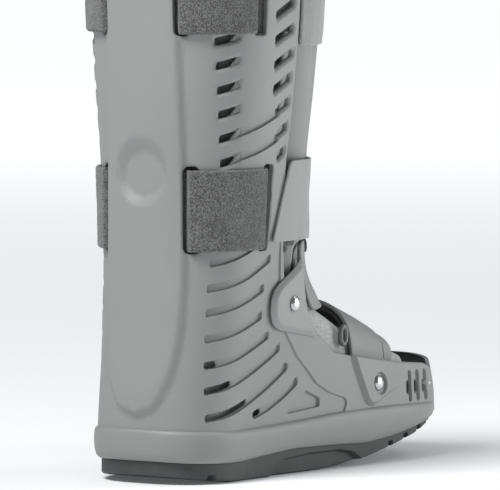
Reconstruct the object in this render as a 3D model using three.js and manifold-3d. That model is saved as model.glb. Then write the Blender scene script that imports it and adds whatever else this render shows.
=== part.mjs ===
// Medical walking boot, millimetres, +Z up, toe towards -Y, heel towards +Y, standing on its sole at z = 0.
// The left half (-X) is the side that shows; the boot is the same on both sides but for a few closures.
import * as THREE from "three";
import { mergeVertices } from "three/addons/utils/BufferGeometryUtils.js";
import Module from "manifold-3d";

const wasm = await Module();
wasm.setup();

// Main sizes. Tables below hold shares: y and stations of SOLE_LENGTH, widths of BALL_WIDTH, z of SHELL_TOP.
const SOLE_LENGTH = 292;
const BALL_WIDTH = 114;
const SHELL_TOP = 372;
const LINER_ABOVE_SHELL = 14;

// Walls, reliefs and clearances.
const GAP = 0.3;
const BAND_CLEARANCE = 1.1;
const SHELL_WALL = 3.5;
const RELIEF = 1.5;
const SPINE_RELIEF = 3.5;
const SPINE_BEVEL = 5.5;
const FLOOR_WALL = 3;
const PANEL_WALL = 2.5;
const PANEL_FRONT_INSET = 1.5;
const MIDSOLE_SKIRT = 2;
const OUTSOLE_INSET = 2.5;
const LINER_WALL = 6;
const LINER_FLOOR = 5;

// Straps.
const STRAP_WIDTH = 50.8;
const LOOP_THICKNESS = 2.2;
const LOOP_STANDOFF = 1;
const TAB_THICKNESS = 1.8;
const ANKLE_STRAP_THICKNESS = 2.2;
const ANKLE_LINING_THICKNESS = 1.6;
const FOREFOOT_THICKNESS = 2.6;
const FOREFOOT_LINING_THICKNESS = 2;

// Slots and grooves.
const GROOVE_WIDTH = 5.4;
const SLOT_HEIGHT = 5.4;
const UPPER_GROOVE_WIDTH = 3.6;
const TOE_SLOT_WIDTH = 1.6;
const TOE_HOLE_WIDTH = 3;
const TOE_HOLE_HEIGHT = 9;

// Hardware.
const RIVET_HEAD_RADIUS = 4.9;
const RIVET_HEAD_HEIGHT = 2.2;
const RIVET_SHANK_RADIUS = 2;
const RIVET_FOOT_THICKNESS = 1.2;
const RIVET_POCKET_RADIUS = 7.4;
const PLATE_THICKNESS = 3.2;
const PLATE_BEVEL = 2;
const BOSS_RISE = 2.2;
const RING_WIRE = 2.2;

// The moulded form by height: height, back, back corner, half width there, front corner,
// half width there, front, squareness behind, squareness in front.
const FORM = [
  [0.0282, 0.4966, 0.3356, 0.4123, -0.2466, 0.5, -0.4966, 2.6, 2.7],
  [0.0793, 0.4932, 0.3356, 0.4123, -0.2466, 0.4912, -0.4966, 2.6, 2.7],
  [0.1626, 0.4863, 0.3219, 0.4123, -0.226, 0.4649, -0.4897, 2.6, 3],
  [0.2056, 0.4795, 0.3082, 0.4211, -0.1027, 0.4386, -0.2671, 2.6, 2.6],
  [0.2487, 0.4726, 0.3014, 0.4298, 0.0171, 0.4342, -0.1438, 2.6, 2.6],
  [0.2863, 0.4692, 0.2911, 0.4386, 0.1027, 0.4386, -0.0479, 2.6, 2.6],
  [0.3669, 0.4623, 0.274, 0.4518, 0.1884, 0.4518, 0.0068, 2.6, 2.6],
  [0.5282, 0.4623, 0.2466, 0.4912, 0.2192, 0.4912, 0.0137, 2.6, 2.6],
  [0.6626, 0.4675, 0.2432, 0.5263, 0.2192, 0.5263, -0.0034, 2.65, 2.65],
  [0.797, 0.4726, 0.2397, 0.5526, 0.2192, 0.5526, -0.0171, 2.7, 2.7],
  [1.0551, 0.4795, 0.2397, 0.5789, 0.2192, 0.5789, -0.0274, 2.7, 2.7],
];

// Heights along the foot, toe to heel: station, outsole underside, midsole underside, midsole top.
const SOLE_LINES = [
  [-0.5137, 0.0712, 0.079, 0.0941],
  [-0.3973, 0.0559, 0.0659, 0.0946],
  [-0.3082, 0.0403, 0.0548, 0.0962],
  [-0.226, 0.0269, 0.0457, 0.0978],
  [-0.1712, 0.0194, 0.0414, 0.0984],
  [-0.1164, 0.0121, 0.0387, 0.0984],
  [-0.0342, 0.0038, 0.0409, 0.0973],
  [0.0685, 0, 0.043, 0.0935],
  [0.1233, 0, 0.0435, 0.0914],
  [0.2397, 0, 0.0382, 0.0882],
  [0.3425, 0, 0.0333, 0.0871],
  [0.3973, 0.004, 0.0344, 0.0882],
  [0.4555, 0.0108, 0.0363, 0.0903],
  [0.5137, 0.0185, 0.0411, 0.0935],
];

// Points down the front edge of the shell and along the top of the foot wall to the toe.
const FRONT_EDGE = [
  [0.2466, 1.0215],
  [0.2055, 1.0013],
  [0.1849, 0.9839],
  [0.1798, 0.957],
  [0.1866, 0.7487],
  [0.1969, 0.5941],
  [0.2041, 0.5403],
  [0.1952, 0.3952],
  [0.1849, 0.3387],
  [0.1575, 0.3038],
  [0.1164, 0.2715],
  [0.0685, 0.2419],
  [0.0408, 0.2304],
  [-0.0127, 0.2003],
  [-0.0699, 0.1914],
  [-0.1644, 0.1801],
  [-0.2534, 0.1707],
  [-0.3699, 0.1621],
  [-0.4041, 0.1522],
  [-0.4247, 0.1419],
  [-0.4349, 0.1438],
  [-0.4418, 0.1667],
  [-0.4555, 0.1731],
  [-0.5479, 0.1731],
];

// Points down the edge of the ribbed panel.
const STEP_LINE = [
  [0.2055, 0.4301],
  [0.2038, 0.3925],
  [0.1997, 0.3398],
  [0.1671, 0.2409],
  [0.1229, 0.1997],
  [0.0856, 0.1747],
  [0.0562, 0.1513],
  [0.0116, 0.1328],
  [-0.0408, 0.1215],
  [-0.0497, 0.1142],
  [-0.0483, 0.1089],
  [-0.0397, 0.0976],
  [-0.0397, 0.0538],
];

// Ribbed grooves: back end, its height, front end, its height, sag, and how far forward it is cut through
// (past the back end: not at all).
const GROOVES = [
  [0.4161, 0.3696, 0.2877, 0.4, 0.0027, 0.6849],
  [0.4212, 0.3263, 0.2363, 0.3726, 0.0054, 0.6849],
  [0.4257, 0.2858, 0.2568, 0.3231, 0.0027, 0.6849],
  [0.4291, 0.2419, 0.2603, 0.2772, 0.0027, 0.6849],
  [0.4322, 0.1981, 0.2295, 0.243, 0.0054, 0.4051],
  [0.4346, 0.1559, 0.186, 0.2196, 0.0094, 0.362],
  [0.4356, 0.1108, 0.1551, 0.1868, 0.0134, 0.3003],
  [0.2846, 0.1081, 0.1192, 0.1594, 0.0067, 0.2473],
];

// Shallow grooves from the back column of slots to the front one: back end, height, front end, height, sag.
const UPPER_GROOVES = [
  [0.3613, 0.5473, 0.2432, 0.5766, 0.004],
  [0.3647, 0.5876, 0.2483, 0.618, 0.004],
];

// Slots at the back corner: back end, its height, front end, its height.
const BACK_SLOTS = [
  [0.4021, 0.5349, 0.3599, 0.5452],
  [0.4068, 0.5757, 0.3634, 0.586],
  [0.4115, 0.6164, 0.3668, 0.6269],
  [0.4162, 0.6571, 0.3702, 0.6677],
  [0.421, 0.6978, 0.3736, 0.7086],
  [0.4257, 0.7386, 0.3771, 0.7495],
];

// Slots near the front edge, the same columns.
const FRONT_SLOTS = [
  [0.2397, 0.5411, 0.2151, 0.5538],
  [0.2442, 0.5809, 0.2116, 0.5935],
  [0.2486, 0.6218, 0.2099, 0.6355],
  [0.2699, 0.6548, 0.2068, 0.6772],
  [0.2712, 0.696, 0.2038, 0.7183],
  [0.2723, 0.7379, 0.2065, 0.7586],
  [0.2729, 0.7798, 0.2045, 0.8022],
];

// Corners of the three-sided groove.
const TRIANGLE = [
  [0.1647, 0.1027],
  [0.0918, 0.1414],
  [0.0418, 0.1253],
  [0.0438, 0.1091],
];

// Spine plateau: height, half width.
const SPINE = [
  [0.1237, 0.007],
  [0.1277, 0.0614],
  [0.1398, 0.1053],
  [0.1613, 0.1456],
  [0.1882, 0.1781],
  [0.2285, 0.2018],
  [0.2823, 0.2175],
  [0.3763, 0.2211],
  [0.5376, 0.2175],
  [0.8065, 0.2035],
  [1.0215, 0.1965],
];

// Outline of an ankle plate, from the front top corner round the back.
const PLATE = [
  [0.0719, 0.3656],
  [0.0839, 0.3731],
  [0.1164, 0.3616],
  [0.1555, 0.3462],
  [0.2068, 0.328],
  [0.226, 0.3172],
  [0.2349, 0.3038],
  [0.237, 0.2863],
  [0.2336, 0.2702],
  [0.2226, 0.257],
  [0.2068, 0.25],
  [0.1932, 0.2473],
  [0.1507, 0.2414],
  [0.1027, 0.2349],
  [0.0548, 0.2282],
  [0.0421, 0.2274],
  [0.0397, 0.2325],
  [0.0497, 0.2527],
  [0.0651, 0.2796],
  [0.0719, 0.3038],
  [0.0726, 0.3333],
];

// Back edge of the boss, from the top of the foot wall round its lower end.
const BOSS = [
  [-0.0675, 0.1919],
  [-0.0822, 0.164],
  [-0.0993, 0.1317],
  [-0.1113, 0.1108],
  [-0.1233, 0.1016],
  [-0.1404, 0.1],
  [-0.1575, 0.1038],
  [-0.1712, 0.1129],
];

// Toe slots: station at the bottom, at the top, and the height of the top.
const TOE_SLOTS = [
  [-0.2938, -0.2897, 0.1532],
  [-0.3308, -0.326, 0.1532],
  [-0.375, -0.3685, 0.1522],
];

// Forefoot strap: station, crest height, half width.
const FOREFOOT = [
  [-0.0993, 0.2809, 0.4105],
  [-0.137, 0.2731, 0.4105],
  [-0.1781, 0.2624, 0.4105],
  [-0.226, 0.2473, 0.4088],
];

// Folded end of the forefoot strap, the same columns.
const FOREFOOT_END = [
  [-0.2281, 0.2392, 0.4053],
  [-0.2466, 0.2339, 0.4053],
  [-0.2654, 0.2258, 0.4018],
];

// Liner: height, inset of its sides and back from the form, inset of its front.
const LINER = [
  [0.0806, 9.4, 12],
  [0.1613, 9.4, 14],
  [0.1774, 8.6, 15],
  [0.1935, 7.6, 15],
  [0.2204, 8.4, 15],
  [0.2419, 8.4, 15],
  [0.2796, 8.8, 15],
  [0.3172, 10.4, 10.4],
  [0.4032, 10.4, 10.4],
  [1.0484, 10.4, 10.4],
];

const AXIS_Y = 0.226 * SOLE_LENGTH;
const AROUND = 32;

const y = (share) => share * SOLE_LENGTH;
const z = (share) => share * SHELL_TOP;
const lerp = (a, b, s) => a + (b - a) * s;
const rad = (degrees) => (degrees * Math.PI) / 180;

// A smooth curve through a table whose first column rises: monotone cubic, one function per later column.
function curves(rows, scales) {
  const at = rows.map((row) => row[0] * scales[0]);
  return rows[0].slice(1).map((_, c) => {
    const v = rows.map((row) => row[c + 1] * scales[c + 1]);
    const slope = at.slice(1).map((x, i) => (v[i + 1] - v[i]) / (x - at[i]));
    const tangent = v.map((_, i) => {
      if (i === 0) return slope[0];
      if (i === v.length - 1) return slope[i - 1];
      const [a, b] = [slope[i - 1], slope[i]];
      return a * b <= 0 ? 0 : (2 * a * b) / (a + b);
    });
    return (x) => {
      const clamped = Math.min(Math.max(x, at[0]), at[at.length - 1]);
      let i = at.findIndex((edge) => edge >= clamped) - 1;
      if (i < 0) i = 0;
      const h = at[i + 1] - at[i];
      const s = (clamped - at[i]) / h;
      const s2 = s * s;
      const s3 = s2 * s;
      return (
        (2 * s3 - 3 * s2 + 1) * v[i] +
        (s3 - 2 * s2 + s) * h * tangent[i] +
        (3 * s2 - 2 * s3) * v[i + 1] +
        (s3 - s2) * h * tangent[i + 1]
      );
    };
  });
}

const [L, W, H] = [SOLE_LENGTH, BALL_WIDTH, SHELL_TOP];
const formCurves = curves(FORM, [H, L, L, W, L, W, L, 1, 1]);
const [outsoleUnder, midsoleUnder, midsoleTop] = curves(SOLE_LINES, [L, H, H, H]);
const [spineHalf] = curves(SPINE, [H, W]);
const [linerSideInset, linerFrontInset] = curves(LINER, [H, 1, 1]);

// A point of the form's outline: t runs 0 at the back to 3 at the front of one side, off is outward.
function formPoint(t, height, off = 0, frontOff = off) {
  const [back, backY, backHalf, frontY, frontHalf, front, nBack, nFront] = formCurves.map((f) => f(height));
  if (t <= 1) {
    const a = (t * Math.PI) / 2;
    return [
      (backHalf + off) * Math.sin(a) ** (2 / nBack),
      backY + (back + off - backY) * Math.cos(a) ** (2 / nBack),
    ];
  }
  if (t <= 2) {
    const s = t - 1;
    const ease = s * s * (3 - 2 * s);
    return [lerp(backHalf, frontHalf, ease) + off, lerp(backY, frontY, s)];
  }
  const a = ((t - 2) * Math.PI) / 2;
  const reach = frontY - (front - frontOff);
  return [
    (frontHalf + off) * Math.max(Math.cos(a), 0) ** (2 / nFront),
    frontY - reach * Math.sin(a) ** (2 / nFront),
  ];
}

// A closed ring of the form, anticlockwise from above; heightAt may follow y.
function formRing(height, off, frontOff = off, heightAt = () => height, count = AROUND) {
  return Array.from({ length: count }, (_, k) => {
    const t = (6 * k) / count;
    const [x, py] = formPoint(t <= 3 ? t : 6 - t, height, off, frontOff);
    return [t <= 3 ? -x : x, py, heightAt(py)];
  });
}

// The same outline by the angle round the leg's axis: 0 at the back, 90 at the left side, 180 in front.
function legPoint(angle, height, off) {
  const turned = ((angle % 360) + 360) % 360;
  const side = turned <= 180 ? -1 : 1;
  const wanted = turned <= 180 ? turned : 360 - turned;
  let [low, high] = [0, 3];
  for (let i = 0; i < 30; i++) {
    const mid = (low + high) / 2;
    const [x, py] = formPoint(mid, height, 0);
    const here = (Math.atan2(x, py - AXIS_Y) * 180) / Math.PI;
    if (here < wanted) low = mid;
    else high = mid;
  }
  const [x, py] = formPoint(low, height, off);
  return [side * x, py, height];
}

// A closed solid through rings of equal length; a one-point ring is a pole, other ends get a flat strip cap.
function loft(rings) {
  const points = [];
  const starts = rings.map((ring) => {
    points.push(...ring);
    return points.length - ring.length;
  });
  const n = Math.max(...rings.map((ring) => ring.length));
  const triangles = [];
  for (let r = 0; r + 1 < rings.length; r++) {
    for (let i = 0; i < n; i++) {
      const j = (i + 1) % n;
      const [a, b] = [starts[r], starts[r + 1]];
      if (rings[r].length === 1) triangles.push([a, b + j, b + i]);
      else if (rings[r + 1].length === 1) triangles.push([a + i, a + j, b]);
      else triangles.push([a + i, a + j, b + j], [a + i, b + j, b + i]);
    }
  }
  const cap = (start, up) => {
    const add = (i, j, k) => triangles.push(up ? [start + i, start + j, start + k] : [start + i, start + k, start + j]);
    add(0, 1, n - 1);
    for (let i = 1; i + 1 <= n / 2 - 1; i++) {
      add(i, i + 1, n - i - 1);
      add(i, n - i - 1, n - i);
    }
    add(n / 2 - 1, n / 2, n / 2 + 1);
  };
  if (rings[0].length > 1) cap(starts[0], false);
  if (rings.at(-1).length > 1) cap(starts.at(-1), true);
  const geometry = new THREE.BufferGeometry();
  geometry.setAttribute("position", new THREE.Float32BufferAttribute(points.flat(), 3));
  geometry.setIndex(triangles.flat());
  return geometry;
}

// three.js geometry to a manifold-3d solid and back.
function solid(geometry) {
  const bare = new THREE.BufferGeometry();
  bare.setAttribute("position", geometry.getAttribute("position"));
  if (geometry.index) bare.setIndex(geometry.index);
  const merged = mergeVertices(bare, 1e-4);
  return new wasm.Manifold(
    new wasm.Mesh({
      numProp: 3,
      vertProperties: merged.attributes.position.array,
      triVerts: new Uint32Array(merged.index.array),
    }),
  );
}

function toGeometry(manifold) {
  const mesh = manifold.getMesh();
  const geometry = new THREE.BufferGeometry();
  geometry.setAttribute("position", new THREE.BufferAttribute(new Float32Array(mesh.vertProperties), 3));
  geometry.setIndex(new THREE.BufferAttribute(new Uint32Array(mesh.triVerts), 1));
  return geometry;
}

// A prism of an outline given as [y, z] points, from x0 to x1.
function sidePrism(outline, x0, x1) {
  const shape = new THREE.Shape(outline.map(([py, pz]) => new THREE.Vector2(py, pz)));
  const geometry = new THREE.ExtrudeGeometry(shape, { depth: x1 - x0, bevelEnabled: false });
  geometry.applyMatrix4(new THREE.Matrix4().set(0, 0, 1, x0, 1, 0, 0, 0, 0, 1, 0, 0, 0, 0, 0, 1));
  return solid(geometry);
}

const HALF_REACH = BALL_WIDTH;
const throughBoth = (outline) => sidePrism(outline, -HALF_REACH, HALF_REACH);

// A rounded bar between two points of the side view, sagging in the middle.
function bar([y0, z0], [y1, z1], width, sag = 0, upTo = 1) {
  const steps = sag ? 3 : 1;
  const centre = Array.from({ length: steps + 1 }, (_, i) => {
    const s = (i / steps) * upTo;
    return [lerp(y0, y1, s), lerp(z0, z1, s) - sag * 4 * s * (1 - s)];
  });
  const half = width / 2;
  const bevel = Math.min(1.4, half * 0.6);
  const ends = [centre[0], centre.at(-1)];
  const clear = ([py]) => ends.every(([end]) => Math.abs(py - end) > 1.5 * bevel);
  const kept = [ends[0], ...centre.filter(clear), ends[1]];
  const upper = kept.map(([py, pz]) => [py, pz + half]);
  const lower = kept.map(([py, pz]) => [py, pz - half]);
  const trim = ([py, pz], [qy], dz) => [
    [py, pz - dz],
    [py + Math.sign(qy - py) * bevel, pz],
  ];
  const [u0, u1] = trim(upper[0], upper[1], bevel);
  const [l0, l1] = trim(lower[0], lower[1], -bevel);
  const [v0, v1] = trim(upper.at(-1), upper.at(-2), bevel);
  const [m0, m1] = trim(lower.at(-1), lower.at(-2), -bevel);
  return [u0, u1, ...upper.slice(1, -1), v1, v0, m0, m1, ...lower.slice(1, -1).reverse(), l1, l0];
}

// A slot with upright ends.
function slant([y0, z0], [y1, z1], height) {
  const half = height / 2;
  return [[y0, z0 - half], [y0, z0 + half], [y1, z1 + half], [y1, z1 - half]];
}

const union = (solids) => solids.reduce((a, b) => a.add(b));
const LOW = -0.05 * SHELL_TOP;

// The form as a solid between two heights, its wall moved out by off.
function formSolid(off, from, to, rows, frontOff = off) {
  const heights = rows.map((s) => lerp(from, to, s));
  return solid(loft(heights.map((h) => formRing(h, off, frontOff))));
}

// Everything under a height line of the foot.
function underLine(line, rise, reach) {
  const at = Array.from({ length: 25 }, (_, i) => lerp(-0.56 * L, 0.56 * L, i / 24));
  const outline = [[0.56 * L, LOW], ...at.map((p) => [p, line(p) + rise]).reverse(), [-0.56 * L, LOW]];
  return sidePrism(outline.reverse(), -reach, reach);
}

const BODY_ROWS = [0, 0.11, 0.155, 0.195, 0.235, 0.3, 0.5, 0.74, 1];
const BODY_FOOT = 0.055 * SHELL_TOP;

// Outsole: rocker bottom, arched waist at the sides, a heel notch and stepped toe lugs.
function buildOutsole() {
  const level = (height, off, line) => formRing(height, off, off, line);
  const low = 0.04 * SHELL_TOP;
  const rings = [
    level(low, -OUTSOLE_INSET - 2, outsoleUnder),
    level(low, -OUTSOLE_INSET, (p) => outsoleUnder(p) + 1.6),
    level(low, -OUTSOLE_INSET, (p) => midsoleUnder(p) - GAP),
  ];
  let made = solid(loft(rings));
  const arch = [
    [0.233, -0.01],
    [0.2, 0.016],
    [0.162, 0.028],
    [0.082, 0.0335],
    [-0.03, 0.0335],
    [-0.075, 0.027],
    [-0.11, 0.012],
  ].map(([a, b]) => [y(a), z(b)]);
  const depth = 7;
  const edge = 0.41 * BALL_WIDTH;
  made = made.subtract(sidePrism(arch, -HALF_REACH, -edge + depth / 2));
  made = made.subtract(sidePrism(arch, edge - depth / 2, HALF_REACH));
  const treadDepth = 2.4;
  const treadWidth = 3.4;
  for (const share of [0.413, -0.215, -0.275, -0.335, -0.395]) {
    const at = y(share);
    const bottom = outsoleUnder(at);
    made = made.subtract(
      throughBoth([
        [at - treadWidth / 2, bottom - 3],
        [at + treadWidth / 2, bottom - 3],
        [at + treadWidth / 2, bottom + treadDepth],
        [at - treadWidth / 2, bottom + treadDepth],
      ]),
    );
  }
  return made;
}

// Midsole: a band with a waisted lower edge.
function buildMidsole() {
  const height = 0.06 * SHELL_TOP;
  const at = (off, s) =>
    formRing(height, off, off, (p) => lerp(midsoleUnder(p), midsoleTop(p), s));
  return solid(
    loft([at(-1.2, 0), at(MIDSOLE_SKIRT - 0.6, 0.2), at(MIDSOLE_SKIRT, 0.5), at(MIDSOLE_SKIRT - 0.6, 0.92), at(MIDSOLE_SKIRT - 1.4, 1)]),
  );
}

// Back view outline of the spine, laid over the form's back.
function buildSpine() {
  const heights = [0.106, 0.112, 0.12, 0.135, 0.155, 0.19, 0.23, 0.29, 0.38, 0.55, 0.75, 1].map(z);
  const backY = (px, height, off) => {
    const [back, backCorner, backHalf, , , , nBack] = formCurves.map((f) => f(height));
    const share = Math.min(Math.abs(px) / (backHalf + off), 0.999);
    return backCorner + (back + off - backCorner) * (1 - share ** nBack) ** (1 / nBack);
  };
  const rings = heights.map((height) => {
    const half = spineHalf(height);
    const wide = half + SPINE_BEVEL;
    const columns = [-wide, -half, -half / 2, 0, half / 2, half, wide];
    const relief = (px) => (Math.abs(px) > half ? -0.4 : SPINE_RELIEF);
    const outer = columns.map((px) => [px, backY(px, height, 0) + relief(px), height]);
    const inner = columns.map((px) => [px, backY(px, height, 0) - 2, height]);
    return [...outer.reverse(), ...inner];
  });
  return solid(loft(rings.map((ring) => ring)));
}

// Slots that the two leg bands pass through: one beside the spine, one behind the front pillar.
const MID_BAND_LOW = 0.3885 * SHELL_TOP;
const TOP_BAND_LOW = 0.7513 * SHELL_TOP;
const BAND_SLOTS = [
  { low: MID_BAND_LOW, spineFrom: 0.234, spineTo: 0.316, frontTo: 0.2862, frontFrom: 0.2534 },
  { low: TOP_BAND_LOW, spineFrom: 0.206, spineTo: 0.292, frontTo: 0.3425, frontFrom: 0.3082 },
];
const BAND_SLOT_MARGIN = 2.4;

function bandSlots() {
  return BAND_SLOTS.flatMap(({ low, spineFrom, spineTo, frontTo, frontFrom }) => {
    const [z0, z1] = [low - BAND_SLOT_MARGIN / 2, low + STRAP_WIDTH + BAND_SLOT_MARGIN];
    const round = 2.2;
    const corner = (a, b) => [
      [a + round, z0], [b - round, z0], [b, z0 + round], [b, z1 - round],
      [b - round, z1], [a + round, z1], [a, z1 - round], [a, z0 + round],
    ];
    const front = throughBoth(corner(y(frontFrom), y(frontTo)));
    const [x0, x1] = [spineFrom * BALL_WIDTH, spineTo * BALL_WIDTH];
    const backward = (a, b) => {
      const shape = new THREE.Shape(corner(a, b).map(([px, pz]) => new THREE.Vector2(px, pz)));
      const geometry = new THREE.ExtrudeGeometry(shape, { depth: 0.3 * L, bevelEnabled: false });
      geometry.applyMatrix4(new THREE.Matrix4().set(1, 0, 0, 0, 0, 0, -1, 0.6 * L, 0, 1, 0, 0, 0, 0, 0, 1));
      return solid(geometry);
    };
    return [front, backward(x0, x1), backward(-x1, -x0)];
  });
}

// Round dimple low on the leg: a cone down to a flat disc.
function buildDimple() {
  const middle = 0.5215 * SHELL_TOP;
  const ring = (halfX, halfZ, drop, py) =>
    Array.from({ length: 28 }, (_, k) => {
      const a = (2 * Math.PI * k) / 28;
      return [halfX * Math.sin(a), py, middle - drop + halfZ * Math.cos(a)];
    });
  const surface = formCurves[0](middle) + SPINE_RELIEF;
  const floor = surface - 2.8;
  return patchLoft([
    ring(14.4, 13.6, 1.7, floor),
    ring(18.8, 22.7, 0, surface),
    ring(18.8, 22.7, 0, surface + 6),
  ]);
}

const RIVETS = [
  { name: "ankle", at: [y(0.1603), z(0.2914)] },
  { name: "forefoot", at: [y(-0.1637), z(0.1384)] },
];

// The moulded shell: foot tub and leg column in one, with its slots, grooves and reliefs.
function buildShell() {
  const ribbed = STEP_LINE.map(([a, b]) => [y(a), z(b)]);
  const behind = throughBoth([[y(0.6), z(1.1)], [y(0.2055), z(1.1)], ...ribbed, [y(0.6), ribbed.at(-1)[1]]]);
  const grooves = GROOVES.map(([y0, z0, y1, z1, sag]) => bar([y(y0), z(z0)], [y(y1), z(z1)], GROOVE_WIDTH, z(sag)));
  const upper = UPPER_GROOVES.map(([y0, z0, y1, z1, sag]) =>
    bar([y(y0), z(z0)], [y(y1), z(z1)], UPPER_GROOVE_WIDTH, z(sag)),
  );
  const triangle = TRIANGLE.map(([a, b]) => [y(a), z(b)]);
  const recesses = union([...grooves, ...upper, triangle].map(throughBoth));
  let made = formSolid(0, BODY_FOOT, SHELL_TOP, BODY_ROWS).intersect(behind).subtract(recesses);
  made = made.add(formSolid(-RELIEF, BODY_FOOT, SHELL_TOP, BODY_ROWS)).add(buildSpine()).subtract(buildDimple());
  made = made.add(buildBoss(-1)).add(buildBoss(1));
  const cuts = [
    ...[...BACK_SLOTS, ...FRONT_SLOTS].map(([y0, z0, y1, z1]) =>
      throughBoth(slant([y(y0), z(z0)], [y(y1), z(z1)], SLOT_HEIGHT)),
    ),
    ...GROOVES.filter(([y0, , , , , through]) => through < y0).map(([y0, z0, y1, z1, sag, through]) =>
      throughBoth(bar([y(y0), z(z0)], [y(y1), z(z1)], GROOVE_WIDTH, z(sag), (y0 - through) / (y0 - y1))),
    ),
    ...TOE_SLOTS.flatMap(([low, high, top]) => {
      const [yl, yh, zh, zl] = [y(low), y(high), z(top), z(top) - 20];
      const half = TOE_SLOT_WIDTH / 2;
      const [mid, middle, wide] = [(zl + zh) / 2 - 1, (yl + yh) / 2, TOE_HOLE_WIDTH / 2];
      return [
        throughBoth([[yl - half, zl], [yl + half, zl], [yh + half, zh], [yh - half, zh]]),
        throughBoth([
          [middle - wide, mid - TOE_HOLE_HEIGHT / 2], [middle + wide, mid - TOE_HOLE_HEIGHT / 2],
          [middle + wide, mid + TOE_HOLE_HEIGHT / 2], [middle - wide, mid + TOE_HOLE_HEIGHT / 2],
        ]),
      ];
    }),
    ...bandSlots(),
  ];
  made = made.subtract(union(cuts));
  const floor = underLine(midsoleTop, GAP + FLOOR_WALL, HALF_REACH);
  const hollow = formSolid(-SHELL_WALL, BODY_FOOT, 1.02 * SHELL_TOP, BODY_ROWS).subtract(floor);
  made = made.subtract(hollow).subtract(underLine(midsoleTop, GAP, HALF_REACH));
  const front = FRONT_EDGE.map(([a, b]) => [y(a), z(b)]);
  made = made.subtract(throughBoth([...front, [y(-0.56), z(1.1)], [y(0.2466), z(1.1)]]));
  for (const { at } of RIVETS) made = made.subtract(crossHole(at, RIVET_SHANK_RADIUS + GAP));
  const pocket = RIVETS[1].at;
  for (const side of [-1, 1]) {
    const face = formPoint(sideT(pocket), pocket[1], -RELIEF)[0];
    made = made.subtract(disc(pocket, RIVET_POCKET_RADIUS, side, face, face + 8));
  }
  // A cut can leave a crumb where two edges meet; the shell is its one large piece.
  return made.decompose().reduce((a, b) => (a.volume() > b.volume() ? a : b));
}

// The t of a side point: how far along the form's outline its station is.
function sideT([py, pz]) {
  let [low, high] = [0, 3];
  for (let i = 0; i < 30; i++) {
    const mid = (low + high) / 2;
    if (formPoint(mid, pz)[1] > py) low = mid;
    else high = mid;
  }
  return low;
}

// A cylinder along x on one side, between two distances from the middle plane.
function disc([py, pz], radius, side, from, to, segments = 24) {
  const geometry = new THREE.CylinderGeometry(radius, radius, to - from, segments);
  geometry.rotateZ(Math.PI / 2);
  geometry.translate((side * (from + to)) / 2, py, pz);
  return solid(geometry);
}

function crossHole(at, radius) {
  return disc(at, radius, 1, -HALF_REACH, HALF_REACH, 12);
}

// Boss that carries the forefoot rivet: proud at its back edge, fading into the wall towards the toe.
function buildBoss(side) {
  const edge = BOSS.map(([a, b]) => [y(a), z(b)]);
  const fade = y(-0.27);
  const rows = edge.map(([y0, pz]) => {
    const spots = [0, 0.08, 0.4, 0.75, 1].map((s) => lerp(y0, Math.min(fade, y0 - 4), s));
    const rise = (k) => [-RELIEF - 0.2, BOSS_RISE - RELIEF, BOSS_RISE - RELIEF - 0.6, -RELIEF + 0.5, -RELIEF - 0.2][k];
    return { pz, spots, rise };
  });
  const skin = (row, k, off) => {
    const point = [row.spots[k], row.pz];
    return [side * formPoint(sideT(point), row.pz, off)[0], point[0], row.pz];
  };
  const rings = rows.map((row, r) => {
    const lift = r === rows.length - 1 ? 0.25 : r === rows.length - 2 ? 0.8 : 1;
    const outer = row.spots.map((_, k) => skin(row, k, lerp(-RELIEF - 0.2, row.rise(k), lift)));
    const inner = row.spots.map((_, k) => skin(row, k, -SHELL_WALL + 0.6));
    const ring = [...outer, ...inner.reverse()];
    return side < 0 ? ring : ring.reverse();
  });
  return patchLoft(rings);
}

// A loft whose end caps are fans, for rings that aren't mirrored about x = 0.
function patchLoft(rings) {
  const middle = (ring) => [0, 1, 2].map((c) => ring.reduce((sum, p) => sum + p[c], 0) / ring.length);
  const closed = [[middle(rings[0])], ...rings, [middle(rings.at(-1))]];
  const made = solid(loft(closed));
  return made.volume() > 0 ? made : solid(loft(closed.map((ring) => [...ring].reverse())));
}

const FULL_TURN = 360;

// Offsets by angle, the same on both sides.
function offsets(rows) {
  return (angle) => {
    const turned = ((angle % FULL_TURN) + FULL_TURN) % FULL_TURN;
    const a = turned <= FULL_TURN / 2 ? turned : FULL_TURN - turned;
    if (a <= rows[0][0]) return rows[0][1];
    for (let i = 1; i < rows.length; i++) {
      const [a0, v0] = rows[i - 1];
      const [a1, v1] = rows[i];
      if (a <= a1) return lerp(v0, v1, (a - a0) / (a1 - a0));
    }
    return rows.at(-1)[1];
  };
}

const INSIDE = -SHELL_WALL - BAND_CLEARANCE - LOOP_THICKNESS;
const PANEL_SIDE = INSIDE - 2 * GAP;
const PILLAR_END = 103;
const FRONT_START = 120;
const panelFace = offsets([
  [PILLAR_END, PANEL_SIDE],
  [FRONT_START, -PANEL_FRONT_INSET],
]);

// Angles that panel, bands and tabs share in front, so that their facets lie parallel.
const FRONT_STATIONS = [PILLAR_END, 106, 109.5, 113, 116.5, FRONT_START, 124, 128, 132, 136, 140, 145, 151, 159, 169];
const aroundFront = (from, to) => {
  const all = [...FRONT_STATIONS, 180, ...FRONT_STATIONS.map((a) => 360 - a).reverse()];
  return [from, ...all.filter((a) => a > from + 1 && a < to - 1), to];
};

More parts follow.
